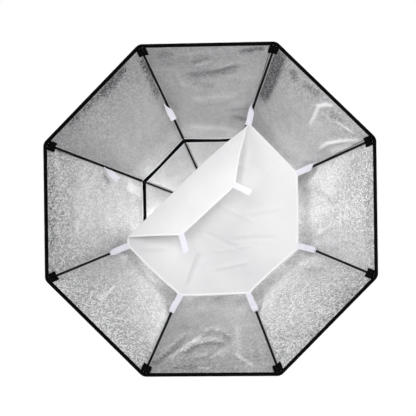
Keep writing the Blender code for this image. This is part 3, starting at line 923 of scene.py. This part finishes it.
def make_rib_edges():
    for number, (side, offset, inner) in RIB_EDGES.items():
        path = []
        normals = []
        for station in np.linspace(inner, POCKET[0] + 0.006, 60):
            centre = rib_point(number, station, LINING_LIFT + 0.0012)
            aside = unit(rib_point(number + side, station, LINING_LIFT) - centre)
            share = (station - inner) / (POCKET[0] - inner)
            path.append(centre + aside * (0.0032 + (offset - 0.0032) * share))
            normals.append(unit(FORWARD - outward(rib_angle(number)) * 0.6))
        row = stitch_row(f"rib_edge_{number}", np.array(path), np.array(normals), BLACK_THREAD,
                         0.0031, 0.0030, 0.0016)
        placed(row, "softbox", "black_nylon")


# ------------------------------------------------ bindings

def rounded_octagon(radius, corner, per_side=40, per_corner=12):
    """(points, outward normals) of a closed octagon in the XZ plane with rounded corners."""
    spots = []
    normals = []
    reach = radius - corner / cos(HALF_SIDE)
    for number in RIBS:
        rib = rib_angle(number)
        middle = outward(rib) * reach
        for step in range(per_corner):
            angle = rib - HALF_SIDE + 2 * HALF_SIDE * step / per_corner
            spots.append(middle + outward(angle) * corner)
            normals.append(outward(angle))
        side = rib + HALF_SIDE
        first = middle + outward(side) * corner
        last = outward(rib_angle(number + 1)) * reach + outward(side) * corner
        for step in range(per_side):
            spots.append(first + (last - first) * step / per_side)
            normals.append(outward(side))
    return np.array(spots), np.array(normals)


def binding_frames(station, corner, lift, per_side, per_corner):
    """Path, along-the-shell direction and inward normal of a tape at one station."""
    radius, forward = beside_rod(station, lift)
    spots, normals = rounded_octagon(radius, corner, per_side, per_corner)
    steep = atan2(tan(rod_steepness(station)), cos(HALF_SIDE))
    path = spots + FORWARD * forward
    uphill = normals * cos(steep) + FORWARD * sin(steep)
    inward = -normals * sin(steep) + FORWARD * cos(steep)
    return path, uphill, inward


def make_binding(name, stations, thickness, corner, node, pucker, per_side, spread=1.0):
    station = (stations[0] + stations[1]) / 2
    path, uphill, inward = binding_frames(station, corner, SHELL_LIFT, per_side, 14)
    width = (stations[1] - stations[0]) / cos(rod_steepness(station)) * spread
    count = len(path)
    phase = np.arange(count) * 2 * pi / count
    wobble = noise_at(path, 0.020, len(name))
    section = rounded_section(width, thickness, 5, 5.0)
    sections = np.repeat(section[None], count, axis=0)
    swell = 1 + pucker * wobble + 0.4 * pucker * np.sin(phase * 260)
    sections[..., 1] *= swell[:, None]
    sections[..., 0] *= 1 + 0.25 * pucker * wobble[:, None]
    placed(swept(name, path, uphill, sections, TAPE), "softbox", "black_nylon", node)
    sewn = []
    for side, place in ((1, 0.33), (1, -0.33), (-1, 0.33)):
        raised = inward * side * (thickness / 2 + 0.00005)
        row = path + uphill * width * place + raised
        row = np.concatenate([row, row[:1]])
        sewn.append(stitch_row(f"{name}_row", row, np.concatenate([inward, inward[:1]]) * side,
                               BLACK_THREAD))
    placed(joined(f"{name}_stitches", sewn), "softbox", "black_nylon")


def make_collar():
    """Gathered elastic casing at the rear opening."""
    station = (COLLAR[0] + COLLAR[1]) / 2
    path, uphill, _ = binding_frames(station, 0.045, SHELL_LIFT, 60, 60)
    count = len(path)
    phase = np.arange(count) * 2 * pi / count
    sections = np.repeat(rounded_section(0.0056, 0.0040, 5, 2.6)[None], count, axis=0)
    gather = 0.5 + 0.5 * np.sin(phase * 96 + 1.5 * noise_at(path, 0.03, 5))
    sections *= (0.86 + 0.22 * gather)[:, None, None]
    collar = swept("collar_elastic", path, uphill, sections, TAPE)
    placed(collar, "softbox", "black_nylon", "rear_collar")


SEAM_EDGE_GAP = 0.0036
# Painted highlight on the seam edges.
SEAM_EDGE_PAINTED_HIGHLIGHT = 0.8


def make_seam_edges():
    """The turned silver edge along both sides of the seam tape, with a painted highlight that
    makes it a thin bright line.
    """
    for name, station in (("seam_edge_outer", SEAM[1] + SEAM_EDGE_GAP),
                          ("seam_edge_inner", SEAM[0] - SEAM_EDGE_GAP)):
        path, uphill, _ = binding_frames(station, 0.006, LINING_LIFT + 0.0020, 70, 6)
        edge = swept(name, path, uphill, rounded_section(0.0026, 0.0008, 4, 2.4), SILVER)
        # The edge is painted bright: a painted highlight.
        paint(edge, "painted_light_tone", np.full(len(edge.data.vertices), SEAM_EDGE_PAINTED_HIGHLIGHT))
        placed(edge, "softbox", "silver_cloth")


# ------------------------------------------------ rods and pockets

ROD_END_GIRTHS = (0.70, 0.45)   # share of the girth left where each end is rounded off


def rod_path(count=90):
    radii = np.linspace(ROD_FIRST, ROD_LAST, count)
    return np.array([[radius, -rod_forward(radius), 0.0] for radius in radii])


def turn_to_rib(points, number):
    angle = rib_angle(number)
    turned = np.array(points, float)
    x, z = turned[..., 0].copy(), turned[..., 2].copy()
    turned[..., 0] = x * cos(angle) - z * sin(angle)
    turned[..., 2] = x * sin(angle) + z * cos(angle)
    return turned


def make_rods():
    path = rod_path()
    sides = np.repeat(UP[None], len(path), axis=0)
    girth = np.ones(len(path))
    girth[0], girth[-1] = ROD_END_GIRTHS
    turns = np.linspace(0, 2 * pi, 16, endpoint=False)
    circle = np.stack([np.cos(turns), np.sin(turns)], axis=1) * ROD_RADIUS
    sections = circle[None] * girth[:, None, None]
    for number in RIBS:
        rod = swept(f"rod_tube_{number}", turn_to_rib(path, number), turn_to_rib(sides, number),
                    sections, STEEL, closed=False)
        placed(rod, "softbox", "coated_steel", f"rod_{number}")


def make_pockets():
    """Folded nylon pockets over the rod tips: a soft tunnel with stitched borders."""
    middle = (POCKET[0] + POCKET[1]) / 2
    steep = rod_steepness(middle)
    centre = np.array([middle, -rod_forward(middle), 0.0])
    along = np.array([cos(steep), -sin(steep), 0.0])
    inward = np.array([-sin(steep), -cos(steep), 0.0])
    across = np.array([0.0, 0.0, 1.0])
    half = (POCKET[1] - POCKET[0]) / 2 / cos(steep)
    rows, columns = 18, 25
    lengths = np.linspace(-half, half, rows)
    sides = np.linspace(-POCKET_HALF, POCKET_HALF, columns)
    base = -0.0030 + 0.34 * np.abs(sides)
    mouth = smooth_step((half * 0.4 - lengths) / (half * 1.4))[:, None]
    for number in RIBS:
        tunnel = 0.0032 + 0.0010 * np.exp(-(sides / 0.0045) ** 2)
        tunnel = tunnel - 0.0012 * smooth_step((np.abs(sides) - 0.009) / 0.005)
        top = np.repeat(tunnel[None], rows, axis=0)
        place = np.stack(np.meshgrid(lengths, sides, indexing="ij"), axis=2)
        top = top + 0.00035 * noise_at(place, 0.006, number)
        closing = smooth_step((lengths - half * 0.62) / (half * 0.38))
        top = top - 0.0014 * closing[:, None]
        bow = 0.0006 * np.cos(lengths / half * pi / 2)[:, None] * np.sign(sides)[None]
        width = sides[None] + bow * np.abs(sides / POCKET_HALF)[None]
        skew = 0.22 * sin(number * 2.4)
        notch = 0.0036 * np.cos(sides / POCKET_HALF * pi / 2)[None] + skew * sides[None]
        reach = lengths[:, None] + mouth * notch
        upper = (centre + along * reach[..., None] + across * width[..., None]
                 + inward * top[..., None])
        lower = (centre + along * reach[..., None] + across * width[..., None]
                 + inward * base[None, :, None])
        ring = np.concatenate([upper, lower[:, ::-1]], axis=1)
        pocket = grid_piece(f"pocket_{number}", turn_to_rib(ring, number), (TAPE,),
                            wrap_columns=True, caps=True)
        outward_faces(pocket)
        sharp_edges(pocket, 60)
        placed(pocket, "softbox", "black_nylon", f"corner_pocket_{number}")
        upper_turned = turn_to_rib(upper, number)
        normals = np.repeat(turn_to_rib(inward[None], number), 200, axis=0)
        sewn = []
        lines = [upper_turned[1:-1, 2], upper_turned[1:-1, -3], upper_turned[-3, 2:-2],
                 upper_turned[3:-2, 8], upper_turned[3:-2, -9]]
        for index, line in enumerate(lines):
            sewn.append(stitch_row(f"pocket_row_{number}_{index}", line + normals[:1] * 0.0003,
                                   normals[:len(line)], BLACK_THREAD, 0.0032, 0.0024, 0.0006))
        placed(joined(f"pocket_stitches_{number}", sewn), "softbox", "black_nylon")


# ------------------------------------------------ inner diffuser

ALONG_FOLD = np.array([cos(FOLD_SLANT), 0.0, sin(FOLD_SLANT)])
ACROSS_FOLD = np.array([-sin(FOLD_SLANT), 0.0, cos(FOLD_SLANT)])
APOTHEM = SHEET_RADIUS * cos(HALF_SIDE)
HALF_EDGE = SHEET_RADIUS * sin(HALF_SIDE)
FLAP_LENGTH = APOTHEM - FOLD_OFFSET
FOLD_SPREAD = 0.0050            # cloth taken up on each side of the fold line by its bend
FOLD_MARGIN = 0.0120            # the fold's curve starts this far inside the line
FOLD_SLIP = 0.0012              # the bend moves the flap this far outward
FLAP_TURN = radians(147.0)
FLAP_BOW = radians(6.0)         # the flap starts this much steeper and ends this much flatter
SHEET_CENTRE = FORWARD * SHEET_FORWARD


def fold_curve():
    """The folded sheet's section: tables of distance, offset from the centre and forward rise."""
    steps = np.linspace(-FOLD_MARGIN, FLAP_LENGTH + 0.004, 900)
    share = smooth_step((steps + FOLD_SPREAD) / (2 * FOLD_SPREAD))
    far = np.clip(steps / FLAP_LENGTH, 0, 1.05)
    angle = FLAP_TURN * share + FLAP_BOW * (2 * far - 1) * share
    step = steps[1] - steps[0]
    offset = np.concatenate([[0.0], np.cumsum(np.cos(angle[:-1]) * step)])
    rise = np.concatenate([[0.0], np.cumsum(np.sin(angle[:-1]) * step)])
    offset = offset + FOLD_OFFSET - FOLD_MARGIN + FOLD_SLIP
    return steps, offset, rise


FOLD_STEPS, FOLD_OFFSETS, FOLD_RISES = fold_curve()


# Where the tabs pull the cloth out of its true octagon: rib, reach, movement.
SHEET_PULLS = [
    (1, 0.060, (-0.0020, 0.0, 0.0)),
    (2, 0.090, (0.0100, 0.0, -0.0065)),
    (5, 0.050, (0.0030, 0.0, 0.0010)),
    (6, 0.060, (0.0065, 0.0, 0.0010)),
    (7, 0.090, (0.0, 0.0, 0.0045)),
    (8, 0.070, (-0.0020, 0.0, -0.0120)),
]


def flat_corner(number):
    """A corner of the sheet as (along, across) the fold."""
    angle = rib_angle(number) - FOLD_SLANT
    return np.array([cos(angle), sin(angle)]) * SHEET_RADIUS


def sheet_place(flat):
    """Where points of the flat octagon lie. They are (along, across) from its centre."""
    along, across = flat[..., 0], flat[..., 1]
    beyond = across - FOLD_OFFSET
    before = beyond < -FOLD_MARGIN
    offset = np.where(before, across, np.interp(beyond, FOLD_STEPS, FOLD_OFFSETS))
    rise = np.where(before, 0.0, np.interp(beyond, FOLD_STEPS, FOLD_RISES))
    far = np.clip(beyond / FLAP_LENGTH, 0, 1.1)
    billow = 0.0030 * np.sin(pi * far) * np.cos(along / 0.16 * pi / 2) * (beyond > 0)
    place = (SHEET_CENTRE + ALONG_FOLD * along[..., None]
             + ACROSS_FOLD * offset[..., None] + FORWARD * (rise + billow)[..., None])
    for number, reach, pull in SHEET_PULLS:
        gap = np.linalg.norm(flat - flat_corner(number), axis=-1)
        place = place + np.exp(-(gap / reach) ** 2)[..., None] * np.array(pull)
    return place


def sheet_margin(flat):
    """Distance of flat points from the sheet's nearest edge."""
    margin = np.full(flat.shape[:-1], 1.0)
    for side in range(SIDES):
        angle = 2 * HALF_SIDE * side - FOLD_SLANT
        reach = flat[..., 0] * cos(angle) + flat[..., 1] * sin(angle)
        margin = np.minimum(margin, APOTHEM - reach)
    return margin


def sheet_grid():
    """Flat spots in rows along the two folded corners' edge, closer together at the fold."""
    slack = pi / 4 - FOLD_SLANT
    near = APOTHEM * tan(slack) + FOLD_MARGIN
    main = np.linspace(-APOTHEM, FOLD_OFFSET - near, 120)
    fold = np.linspace(FOLD_OFFSET - near, FOLD_OFFSET + near, 48)
    flap = np.linspace(FOLD_OFFSET + near, APOTHEM, 36)
    rows = np.unique(np.concatenate([main, fold, flap, [-HALF_EDGE]]))[:, None]
    width = np.where(abs(rows) <= HALF_EDGE, APOTHEM, APOTHEM - (abs(rows) - HALF_EDGE))
    columns = width * np.linspace(-1, 1, 169)
    return np.stack([columns * cos(slack) - rows * sin(slack),
                     columns * sin(slack) + rows * cos(slack)], axis=2)


# Pressed folds and pulls of the flat sheet: a line of (along, across) spots, width, height.
SHEET_FOLDS = [
    ([(-0.110, -0.055), (-0.150, -0.070), (-0.200, -0.095)], 0.0030, 0.0040),
    ([(-0.105, -0.065), (-0.195, -0.105)], 0.0090, -0.0030),
    ([(-0.220, 0.065), (-0.160, 0.010)], 0.0080, 0.0030),
    ([(0.045, -0.065), (0.150, -0.135)], 0.0060, 0.0028),
    ([(-0.025, -0.095), (0.080, -0.180)], 0.0060, -0.0026),
    ([(-0.115, -0.120), (-0.030, -0.175)], 0.0050, 0.0026),
    ([(-0.080, -0.085), (0.010, -0.150)], 0.0040, 0.0020),
    ([(0.190, 0.060), (0.100, -0.010)], 0.0070, 0.0026),
    ([(0.200, -0.030), (0.090, -0.040)], 0.0060, -0.0022),
    ([(0.120, 0.085), (0.160, -0.020)], 0.0045, 0.0018),
    ([(0.020, 0.000), (0.060, -0.110)], 0.0050, 0.0022),
    ([(-0.060, -0.030), (-0.020, -0.140)], 0.0060, -0.0022),
    ([(-0.020, 0.050), (0.070, 0.020)], 0.0045, 0.0016),
]


def sheet_relief(flat):
    """Soft wrinkles of the sheet: most of it is taut between its tabs."""
    broad = noise_at(flat, 0.11, 61, (1.0, 0.7))
    fine = noise_at(flat, 0.035, 62, (0.6, 1.0))
    relief = 0.0012 * broad + 0.00035 * fine
    for spots, width, height in SHEET_FOLDS:
        relief = relief + height * fold_profile(flat, spots, width)
    return relief * smooth_step(sheet_margin(flat) / 0.035)


# Painted light on the whole flap.
FLAP_PAINTED_LIGHT = 0.35


def painted_sheet_light(flat):
    """Painted light on the sheet, standing for light through the thin cloth: it lifts the flap's
    shadow and brightens the sheet towards the right.
    """
    along, across = flat[..., 0], flat[..., 1]
    sideways = 0.60 * smooth_step((along + 0.07) / 0.20)
    under = 0.80 * np.exp(-((across + 0.010) / 0.060) ** 2)
    under = under * smooth_step((0.24 - abs(along)) / 0.10)
    return np.where(across > FOLD_OFFSET, FLAP_PAINTED_LIGHT, np.maximum(sideways, under))


def make_diffuser():
    flat = sheet_grid()
    points = sheet_place(flat)
    normals = -grid_normals(points)
    if normals[20, 84, 1] > 0:
        normals = -normals
    points = points + normals * sheet_relief(flat)[..., None]
    cloth = grid_piece("diffuser_cloth", points, (CLOTH,), uv=flat)
    if cloth.data.polygons[200].normal.y > 0:
        cloth.data.flip_normals()
    # Painted light on the sheet and flap.
    paint(cloth, "painted_glow", painted_sheet_light(flat))
    thicken(cloth, 0.0005, offset=0.0)
    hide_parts("inner_diffuser", "diffuser_flap")
    hem = make_hem()
    for piece in (cloth, hem):
        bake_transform(piece)


def perimeter():
    """Flat points round the octagon, their inward directions, closer together at the fold."""
    spots = []
    inward = []
    for number in RIBS:
        first, last = flat_corner(number), flat_corner(number % SIDES + 1)
        length = np.linalg.norm(last - first)
        places = list(np.linspace(0, 1, 60, endpoint=False))
        if (first[1] - FOLD_OFFSET) * (last[1] - FOLD_OFFSET) < 0:
            at = (FOLD_OFFSET - first[1]) / (last[1] - first[1])
            places += list(at + np.linspace(-0.016, 0.016, 40) / abs(last[1] - first[1]))
        places = sorted(place for place in places if 0 <= place < 1)
        direction = (last - first) / length
        for place in places:
            spots.append(first + (last - first) * place)
            inward.append(np.array([-direction[1], direction[0]]))
    return np.array(spots), np.array(inward)


def make_hem():
    """The white tape folded over the diffuser's edge."""
    spots, inward = perimeter()
    for _ in range(2):
        inward = unit((np.roll(inward, 1, axis=0) + 2 * inward + np.roll(inward, -1, axis=0)))
    section = [(-0.0008, 0.0), (-0.0005, 0.0006), (0.0003, 0.0010), (0.0022, 0.0012),
               (0.0042, 0.0011), (0.0050, 0.0006), (0.0050, -0.0006), (0.0042, -0.0011),
               (0.0022, -0.0012), (0.0003, -0.0010), (-0.0005, -0.0006)]
    rings = []
    reach = 0.0004
    for depth, height in section:
        flat = spots + inward * depth
        here = sheet_place(flat)
        aside = sheet_place(flat + np.array([reach, 0.0])) - here
        beyond = sheet_place(flat + np.array([0.0, reach])) - here
        normal = unit(np.cross(aside, beyond))
        rings.append(here + normal * height)
    points = np.stack(rings, axis=1)
    hem = grid_piece("diffuser_hem", points, (HEM,), wrap_rows=True, wrap_columns=True)
    outward_faces(hem)
    return hem


# ------------------------------------------------ tabs

TAB_THICK = 0.0010


def strap(name, centre, across, up, half_width, twist):
    """A ribbon along a centre line. Half width and twist are given at each point."""
    shares = np.linspace(-1, 1, 9)
    side = across * np.cos(twist)[:, None] + up * np.sin(twist)[:, None]
    points = centre[:, None] + side[:, None] * (half_width[:, None] * shares)[..., None]
    ribbon = grid_piece(name, points, (WEBBING,))
    thicken(ribbon, TAB_THICK, offset=0.0)
    bevel = ribbon.modifiers.new("soft_edge", "BEVEL")
    bevel.width = TAB_THICK * 0.3
    bevel.segments = 2
    bevel.limit_method = "ANGLE"
    bevel.angle_limit = radians(50)
    return ribbon


# How each fastened tab reaches its root: which edge stays straight, width left at the end as a
# share, radius where it starts to narrow, radius of the end, twist at the end in degrees.
TAB_ENDS = {
    1: (1.0, 0.14, 0.2890, 0.3105, 36.0),
    2: (1.0, 0.12, 0.2870, 0.3120, 36.0),
    5: (0.4, 0.72, 0.2960, 0.3080, 12.0),
    6: (0.0, 0.90, 0.2920, 0.3050, 8.0),
    7: (0.0, 0.94, 0.2950, 0.3040, 6.0),
    8: (0.3, 0.86, 0.2950, 0.3060, 8.0),
}
# How far a strap's base stands aside to meet a corner of the sheet that is pulled aside.
TAB_BASES = {1: 0.0, 2: -0.0055, 5: 0.0, 6: 0.0050, 7: 0.0, 8: -0.0045}


def make_fastened_tabs():
    for number, (straight, narrow, begin, finish, twist) in TAB_ENDS.items():
        radial = outward(rib_angle(number))
        across = outward(rib_angle(number) + pi / 2)
        for kind, first, last, level, body, node in (
            ("shell_strap", 0.2640, finish, 0.16690, "softbox", "shell_tab"),
            ("diffuser_strap", SHEET_RADIUS - 0.0060, finish - 0.0040, 0.16870, "diffuser",
             "diffuser_tab"),
        ):
            radii = np.linspace(first, last, 44)
            far = smooth_step((radii - begin) / (finish - begin)) ** 0.8
            dip = smooth_step((radii - 0.2980) / 0.0145) * 0.0020
            width = TAB_WIDTH / 2 * (1 - (1 - narrow) * far)
            shift = straight * (TAB_WIDTH / 2 - width)
            shift = shift + TAB_BASES[number] * (1 - smooth_step((radii - 0.2560) / 0.040))
            wave = 0.0006 * np.sin(radii * 230 + number)
            centre = (radial * radii[:, None] + across * shift[:, None]
                      + FORWARD * (level - dip + wave)[:, None])
            ribbon = strap(f"{kind}_{number}", centre, across, FORWARD, width,
                           radians(twist) * far)
            placed(ribbon, body, "white_webbing", f"{node}_{number}")


# Released shell tabs: root radius, sideways shift of the root, direction it hangs in, and which
# edge stays straight where it narrows.
LOOSE_TABS = {
    3: (0.3200, 0.0030, radians(-63.0), -0.6),
    4: (0.3200, 0.0020, radians(-42.5), 0.0),
}
LOOSE_TAB_LENGTH = 0.0530
LOOSE_TAB_FORWARD = 0.1775
LOOSE_TAB_PINCH = 0.16          # share of its width left at the root
LOOSE_TAB_TWIST = radians(28)


def make_loose_tabs():
    """Two shell tabs hang from their pinched roots, in front of the rods."""
    travel = np.linspace(0, 1, 44)
    for number, (radius, shift, hang, lean) in LOOSE_TABS.items():
        direction = outward(hang)
        across = outward(hang + pi / 2)
        root = (outward(rib_angle(number)) * radius + FORWARD * LOOSE_TAB_FORWARD
                + outward(rib_angle(number) + pi / 2) * shift)
        share = LOOSE_TAB_PINCH + (1 - LOOSE_TAB_PINCH) * smooth_step((travel - 0.04) / 0.50)
        sideways = lean * (1 - share) * TAB_WIDTH / 2
        bow = 0.0024 * np.sin(travel * pi) + 0.0004
        centre = (root + direction * (travel * LOOSE_TAB_LENGTH)[:, None]
                  + FORWARD * bow[:, None] + across * sideways[:, None])
        ribbon = strap(f"shell_strap_{number}", centre, across, FORWARD,
                       TAB_WIDTH / 2 * share, LOOSE_TAB_TWIST * (1 - share))
        placed(ribbon, f"loose_tab_{number}", "white_webbing", f"shell_tab_{number}")


FLAP_TAB_LENGTH = 0.0540
FLAP_TAB_OVERLAP = 0.0040       # the part that is sewn onto the flap
FLAP_TAB_DROOP = 0.06


def make_flap_tabs():
    """The flap's own tabs carry on from its two corners."""
    for number in LOOSE_RIBS:
        corner = flat_corner(number)
        out = unit(corner)
        aside_flat = np.array([-out[1], out[0]])
        root = corner - out * 0.006
        reach = 0.0020
        here = sheet_place(root)
        ahead = sheet_place(root + out * reach) - here
        aside = sheet_place(root + aside_flat * reach) - here
        along, across = unit(ahead), unit(aside)
        up = unit(np.cross(across, along))
        if up[1] > 0:
            up = -up
        lengths = np.linspace(-FLAP_TAB_OVERLAP, FLAP_TAB_LENGTH - FLAP_TAB_OVERLAP, 40)
        start = sheet_place(corner)
        droop = FLAP_TAB_DROOP * np.clip(lengths, 0, 1)
        centre = start + along * lengths[:, None] - UP * droop[:, None] + up * 0.0012
        width = np.full(len(lengths), TAB_WIDTH / 2)
        ribbon = strap(f"diffuser_strap_{number}", centre, across, up, width,
                       np.zeros(len(lengths)))
        placed(ribbon, "flap", "white_webbing", f"diffuser_tab_{number}")


# ------------------------------------------------ speedring and bayonet

def refined(node, name, look, width=0.0004):
    """A welded, bevelled copy of a hard CAD piece that keeps its every dimension."""
    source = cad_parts[node]
    mesh = source.data.copy()
    mesh.materials.clear()
    work = bmesh.new()
    work.from_mesh(mesh)
    bmesh.ops.remove_doubles(work, verts=work.verts, dist=1e-5)
    bmesh.ops.dissolve_limit(work, angle_limit=radians(1.0), verts=work.verts, edges=work.edges)
    work.to_mesh(mesh)
    work.free()
    mesh.shade_smooth()
    mesh.set_sharp_from_angle(angle=radians(32))
    obj = link(bpy.data.objects.new(name, mesh), look)
    bevel = obj.modifiers.new("edges", "BEVEL")
    bevel.width = width
    bevel.segments = 2
    bevel.limit_method = "ANGLE"
    bevel.angle_limit = radians(32)
    return obj


def make_speedring():
    body = refined("speedring_body", "speedring_casting", CAST, 0.0005)
    placed(body, "softbox", "cast_alloy", "speedring_body")
    insert = refined("mount_insert", "bayonet_insert", BRIGHT, 0.0004)
    placed(insert, "mount", "bright_alloy", "mount_insert")
    hub = refined("mount_hub", "bearing_hub", BRIGHT, 0.0004)
    placed(hub, "mount", "bright_alloy", "mount_hub")
    ring = refined("retaining_ring", "front_ring", BRIGHT, 0.0005)
    placed(ring, "mount", "bright_alloy", "retaining_ring")
    make_screws()
    make_knobs()


def make_screws():
    """Four socket-head screws through the retaining ring and the hub."""
    front = -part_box("retaining_ring")[0].y
    heads = []
    for index in range(4):
        angle = pi / 4 + index * pi / 2
        centre = outward(angle) * 0.0532
        profile = bevelled([(0.00001, -(front - 0.0004)), (0.0030, -(front - 0.0004)),
                            (0.0030, -(front + 0.0022)), (0.0016, -(front + 0.0022)),
                            (0.0014, -(front + 0.0008)), (0.00001, -(front + 0.0008))], 0.0003)
        heads.append(lathe(f"screw_{index + 1}", profile, BRIGHT, 36, "Y", centre))
    screws = joined("ring_screws", heads)
    sharp_edges(screws)
    placed(screws, "mount", "bright_alloy")


def make_knobs():
    """Thumbscrews with a lobed plastic head on a steel screw."""
    def lobes(radius, along, turns):
        head = (radius > 0.0045) & (np.abs(along) > 0.0795) & (np.abs(along) < 0.0898)
        return radius - head * 0.0008 * (0.5 + 0.5 * np.cos(12 * turns)) ** 2

    for name, side in (("lock_knob_right", 1), ("lock_knob_left", -1)):
        centre = (0.0, -SOCKET_FORWARD, 0.0)
        head_profile = bevelled([
            (0.00001, side * 0.0905), (0.0050, side * 0.0905), (0.0070, side * 0.0893),
            (0.0070, side * 0.0800), (0.0058, side * 0.0785), (0.0030, side * 0.0785),
            (0.0030, side * 0.0780), (0.00001, side * 0.0780)], 0.0005, 2)
        head = lathe(f"{name}_head", head_profile, PLASTIC, 96, "X", centre, lobes)
        sharp_edges(head, 50)
        placed(head, name, "black_plastic", name)

        def ridges(radius, along, turns):
            return radius - (radius > 0.0025) * 0.00022 * (0.5 + 0.5 * np.sin(
                2 * pi * along / 0.0009 + side * turns))

        tip = [(0.00001, side * 0.0544), (0.0024, side * 0.0544)]
        shank = [(0.0030, side * (0.0550 + 0.00025 * k)) for k in range(90)]
        shank += [(0.00001, side * 0.0776)]
        screw = lathe(f"{name}_screw", tip + shank, BRIGHT, 32, "X", centre, ridges)
        placed(screw, name, "bright_alloy")


# ------------------------------------------------ stage

CAMERA_DISTANCE = 3.2
CAMERA_SWING = radians(2.95)
CAMERA_ROLL = radians(-0.75)
CAMERA_LENS = 105.4
AIM = (-0.0037, 0.0042)         # (X, Z) of the point that the camera looks at, in the rim's plane
STAGE_CENTRE = (0.0, -0.2, 0.0)
FLOOR_HEIGHT = -1.15
WORLD_LEVELS = (0.11, 0.39)     # strength of the studio's light from below and from above


def make_camera():
    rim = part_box("rim_binding")[0].y
    camera = bpy.data.objects.new("camera", bpy.data.cameras.new("camera"))
    bpy.context.scene.collection.objects.link(camera)
    camera.location = (CAMERA_DISTANCE * sin(CAMERA_SWING),
                       rim - CAMERA_DISTANCE * cos(CAMERA_SWING), 0.0)
    aim = Vector((AIM[0], rim, AIM[1]))
    facing = (aim - camera.location).to_track_quat("-Z", "Y").to_matrix()
    camera.rotation_euler = (facing @ Matrix.Rotation(CAMERA_ROLL, 3, "Z")).to_euler()
    camera.data.lens = CAMERA_LENS
    camera.data.sensor_width = 36.0
    bpy.context.scene.camera = camera


def make_floor():
    turns = np.linspace(0, 2 * pi, 96, endpoint=False)
    radii = np.array([0.001, 0.4, 0.8, 1.3, 1.9, 2.5])
    across, deep = radii[:, None] * np.cos(turns), radii[:, None] * np.sin(turns)
    points = np.stack([across, deep - 0.35, np.full(across.shape, FLOOR_HEIGHT)], axis=2)
    floor = grid_piece("floor", points, (floor_paint(),), wrap_columns=True)
    if floor.data.polygons[0].normal.z < 0:
        floor.data.flip_normals()


def add_light(name, kind, place, power, size, target=None):
    data = bpy.data.lights.new(name, kind)
    data.energy = power
    if kind == "AREA":
        data.shape = "RECTANGLE"
        data.size, data.size_y = size
    else:
        data.shadow_soft_size = size
    light = bpy.data.objects.new(name, data)
    bpy.context.scene.collection.objects.link(light)
    light.location = place
    light.visible_camera = False
    if target:
        aim = Vector(target) - Vector(place)
        light.rotation_euler = aim.to_track_quat("-Z", "Y").to_euler()
    return light


def make_world():
    """White to the camera, and a soft grey studio, brighter above, to everything else."""
    world = bpy.data.worlds.new("studio")
    bpy.context.scene.world = world
    world.use_nodes = True
    tree = world.node_tree
    tree.nodes.clear()

    def node(kind, **inputs):
        made = tree.nodes.new("ShaderNode" + kind)
        for label, value in inputs.items():
            socket = made.inputs[label.replace("_", " ")]
            if isinstance(value, bpy.types.NodeSocket):
                tree.links.new(value, socket)
            else:
                socket.default_value = value
        return made

    place = node("TexCoord")
    parts = node("SeparateXYZ", Vector=place.outputs["Generated"])
    level = node("MapRange", Value=parts.outputs["Z"], From_Min=-1.0, From_Max=1.0,
                 To_Min=WORLD_LEVELS[0], To_Max=WORLD_LEVELS[1])
    soft = node("Background", Color=(1.0, 0.998, 1.0, 1.0), Strength=level.outputs["Result"])
    seen = node("Background", Color=(1.0, 1.0, 1.0, 1.0), Strength=1.0)
    rays = node("LightPath")
    mixer = tree.nodes.new("ShaderNodeMixShader")
    output = tree.nodes.new("ShaderNodeOutputWorld")
    tree.links.new(rays.outputs["Is Camera Ray"], mixer.inputs[0])
    tree.links.new(soft.outputs[0], mixer.inputs[1])
    tree.links.new(seen.outputs[0], mixer.inputs[2])
    tree.links.new(mixer.outputs[0], output.inputs["Surface"])


def make_lights():
    """Three softboxes round the studio. Small lights in the shell stand for its bounce."""
    add_light("front", "AREA", (-0.3, -4.2, 1.2), 57.5, (2.6, 2.0), STAGE_CENTRE)
    add_light("left", "AREA", (-2.1, -1.35, 0.75), 27.5, (1.3, 1.6), STAGE_CENTRE)
    add_light("right", "AREA", (2.1, -1.35, 0.95), 20.0, (1.3, 1.5), STAGE_CENTRE)
    add_light("inner_right", "POINT", (0.095, -0.105, -0.035), 0.20, 0.06)
    add_light("inner_left", "POINT", (-0.085, -0.105, -0.050), 0.18, 0.06)
    add_light("flap_bounce", "POINT", (0.145, -0.380, 0.050), 0.30, 0.10)


bpy.context.scene.view_settings.view_transform = "Standard"
make_camera()
make_world()
make_lights()
make_floor()
make_panels()
make_rib_seams()
make_rib_edges()
make_binding("rim_tape", RIM, 0.0030, 0.020, "rim_binding", 0.10, 110)
make_binding("seam_tape", SEAM, 0.0024, 0.006, "seam_binding", 0.08, 50, 1.85)
make_seam_edges()
make_collar()
make_rods()
make_pockets()
make_diffuser()
make_fastened_tabs()
make_loose_tabs()
make_flap_tabs()
make_speedring()
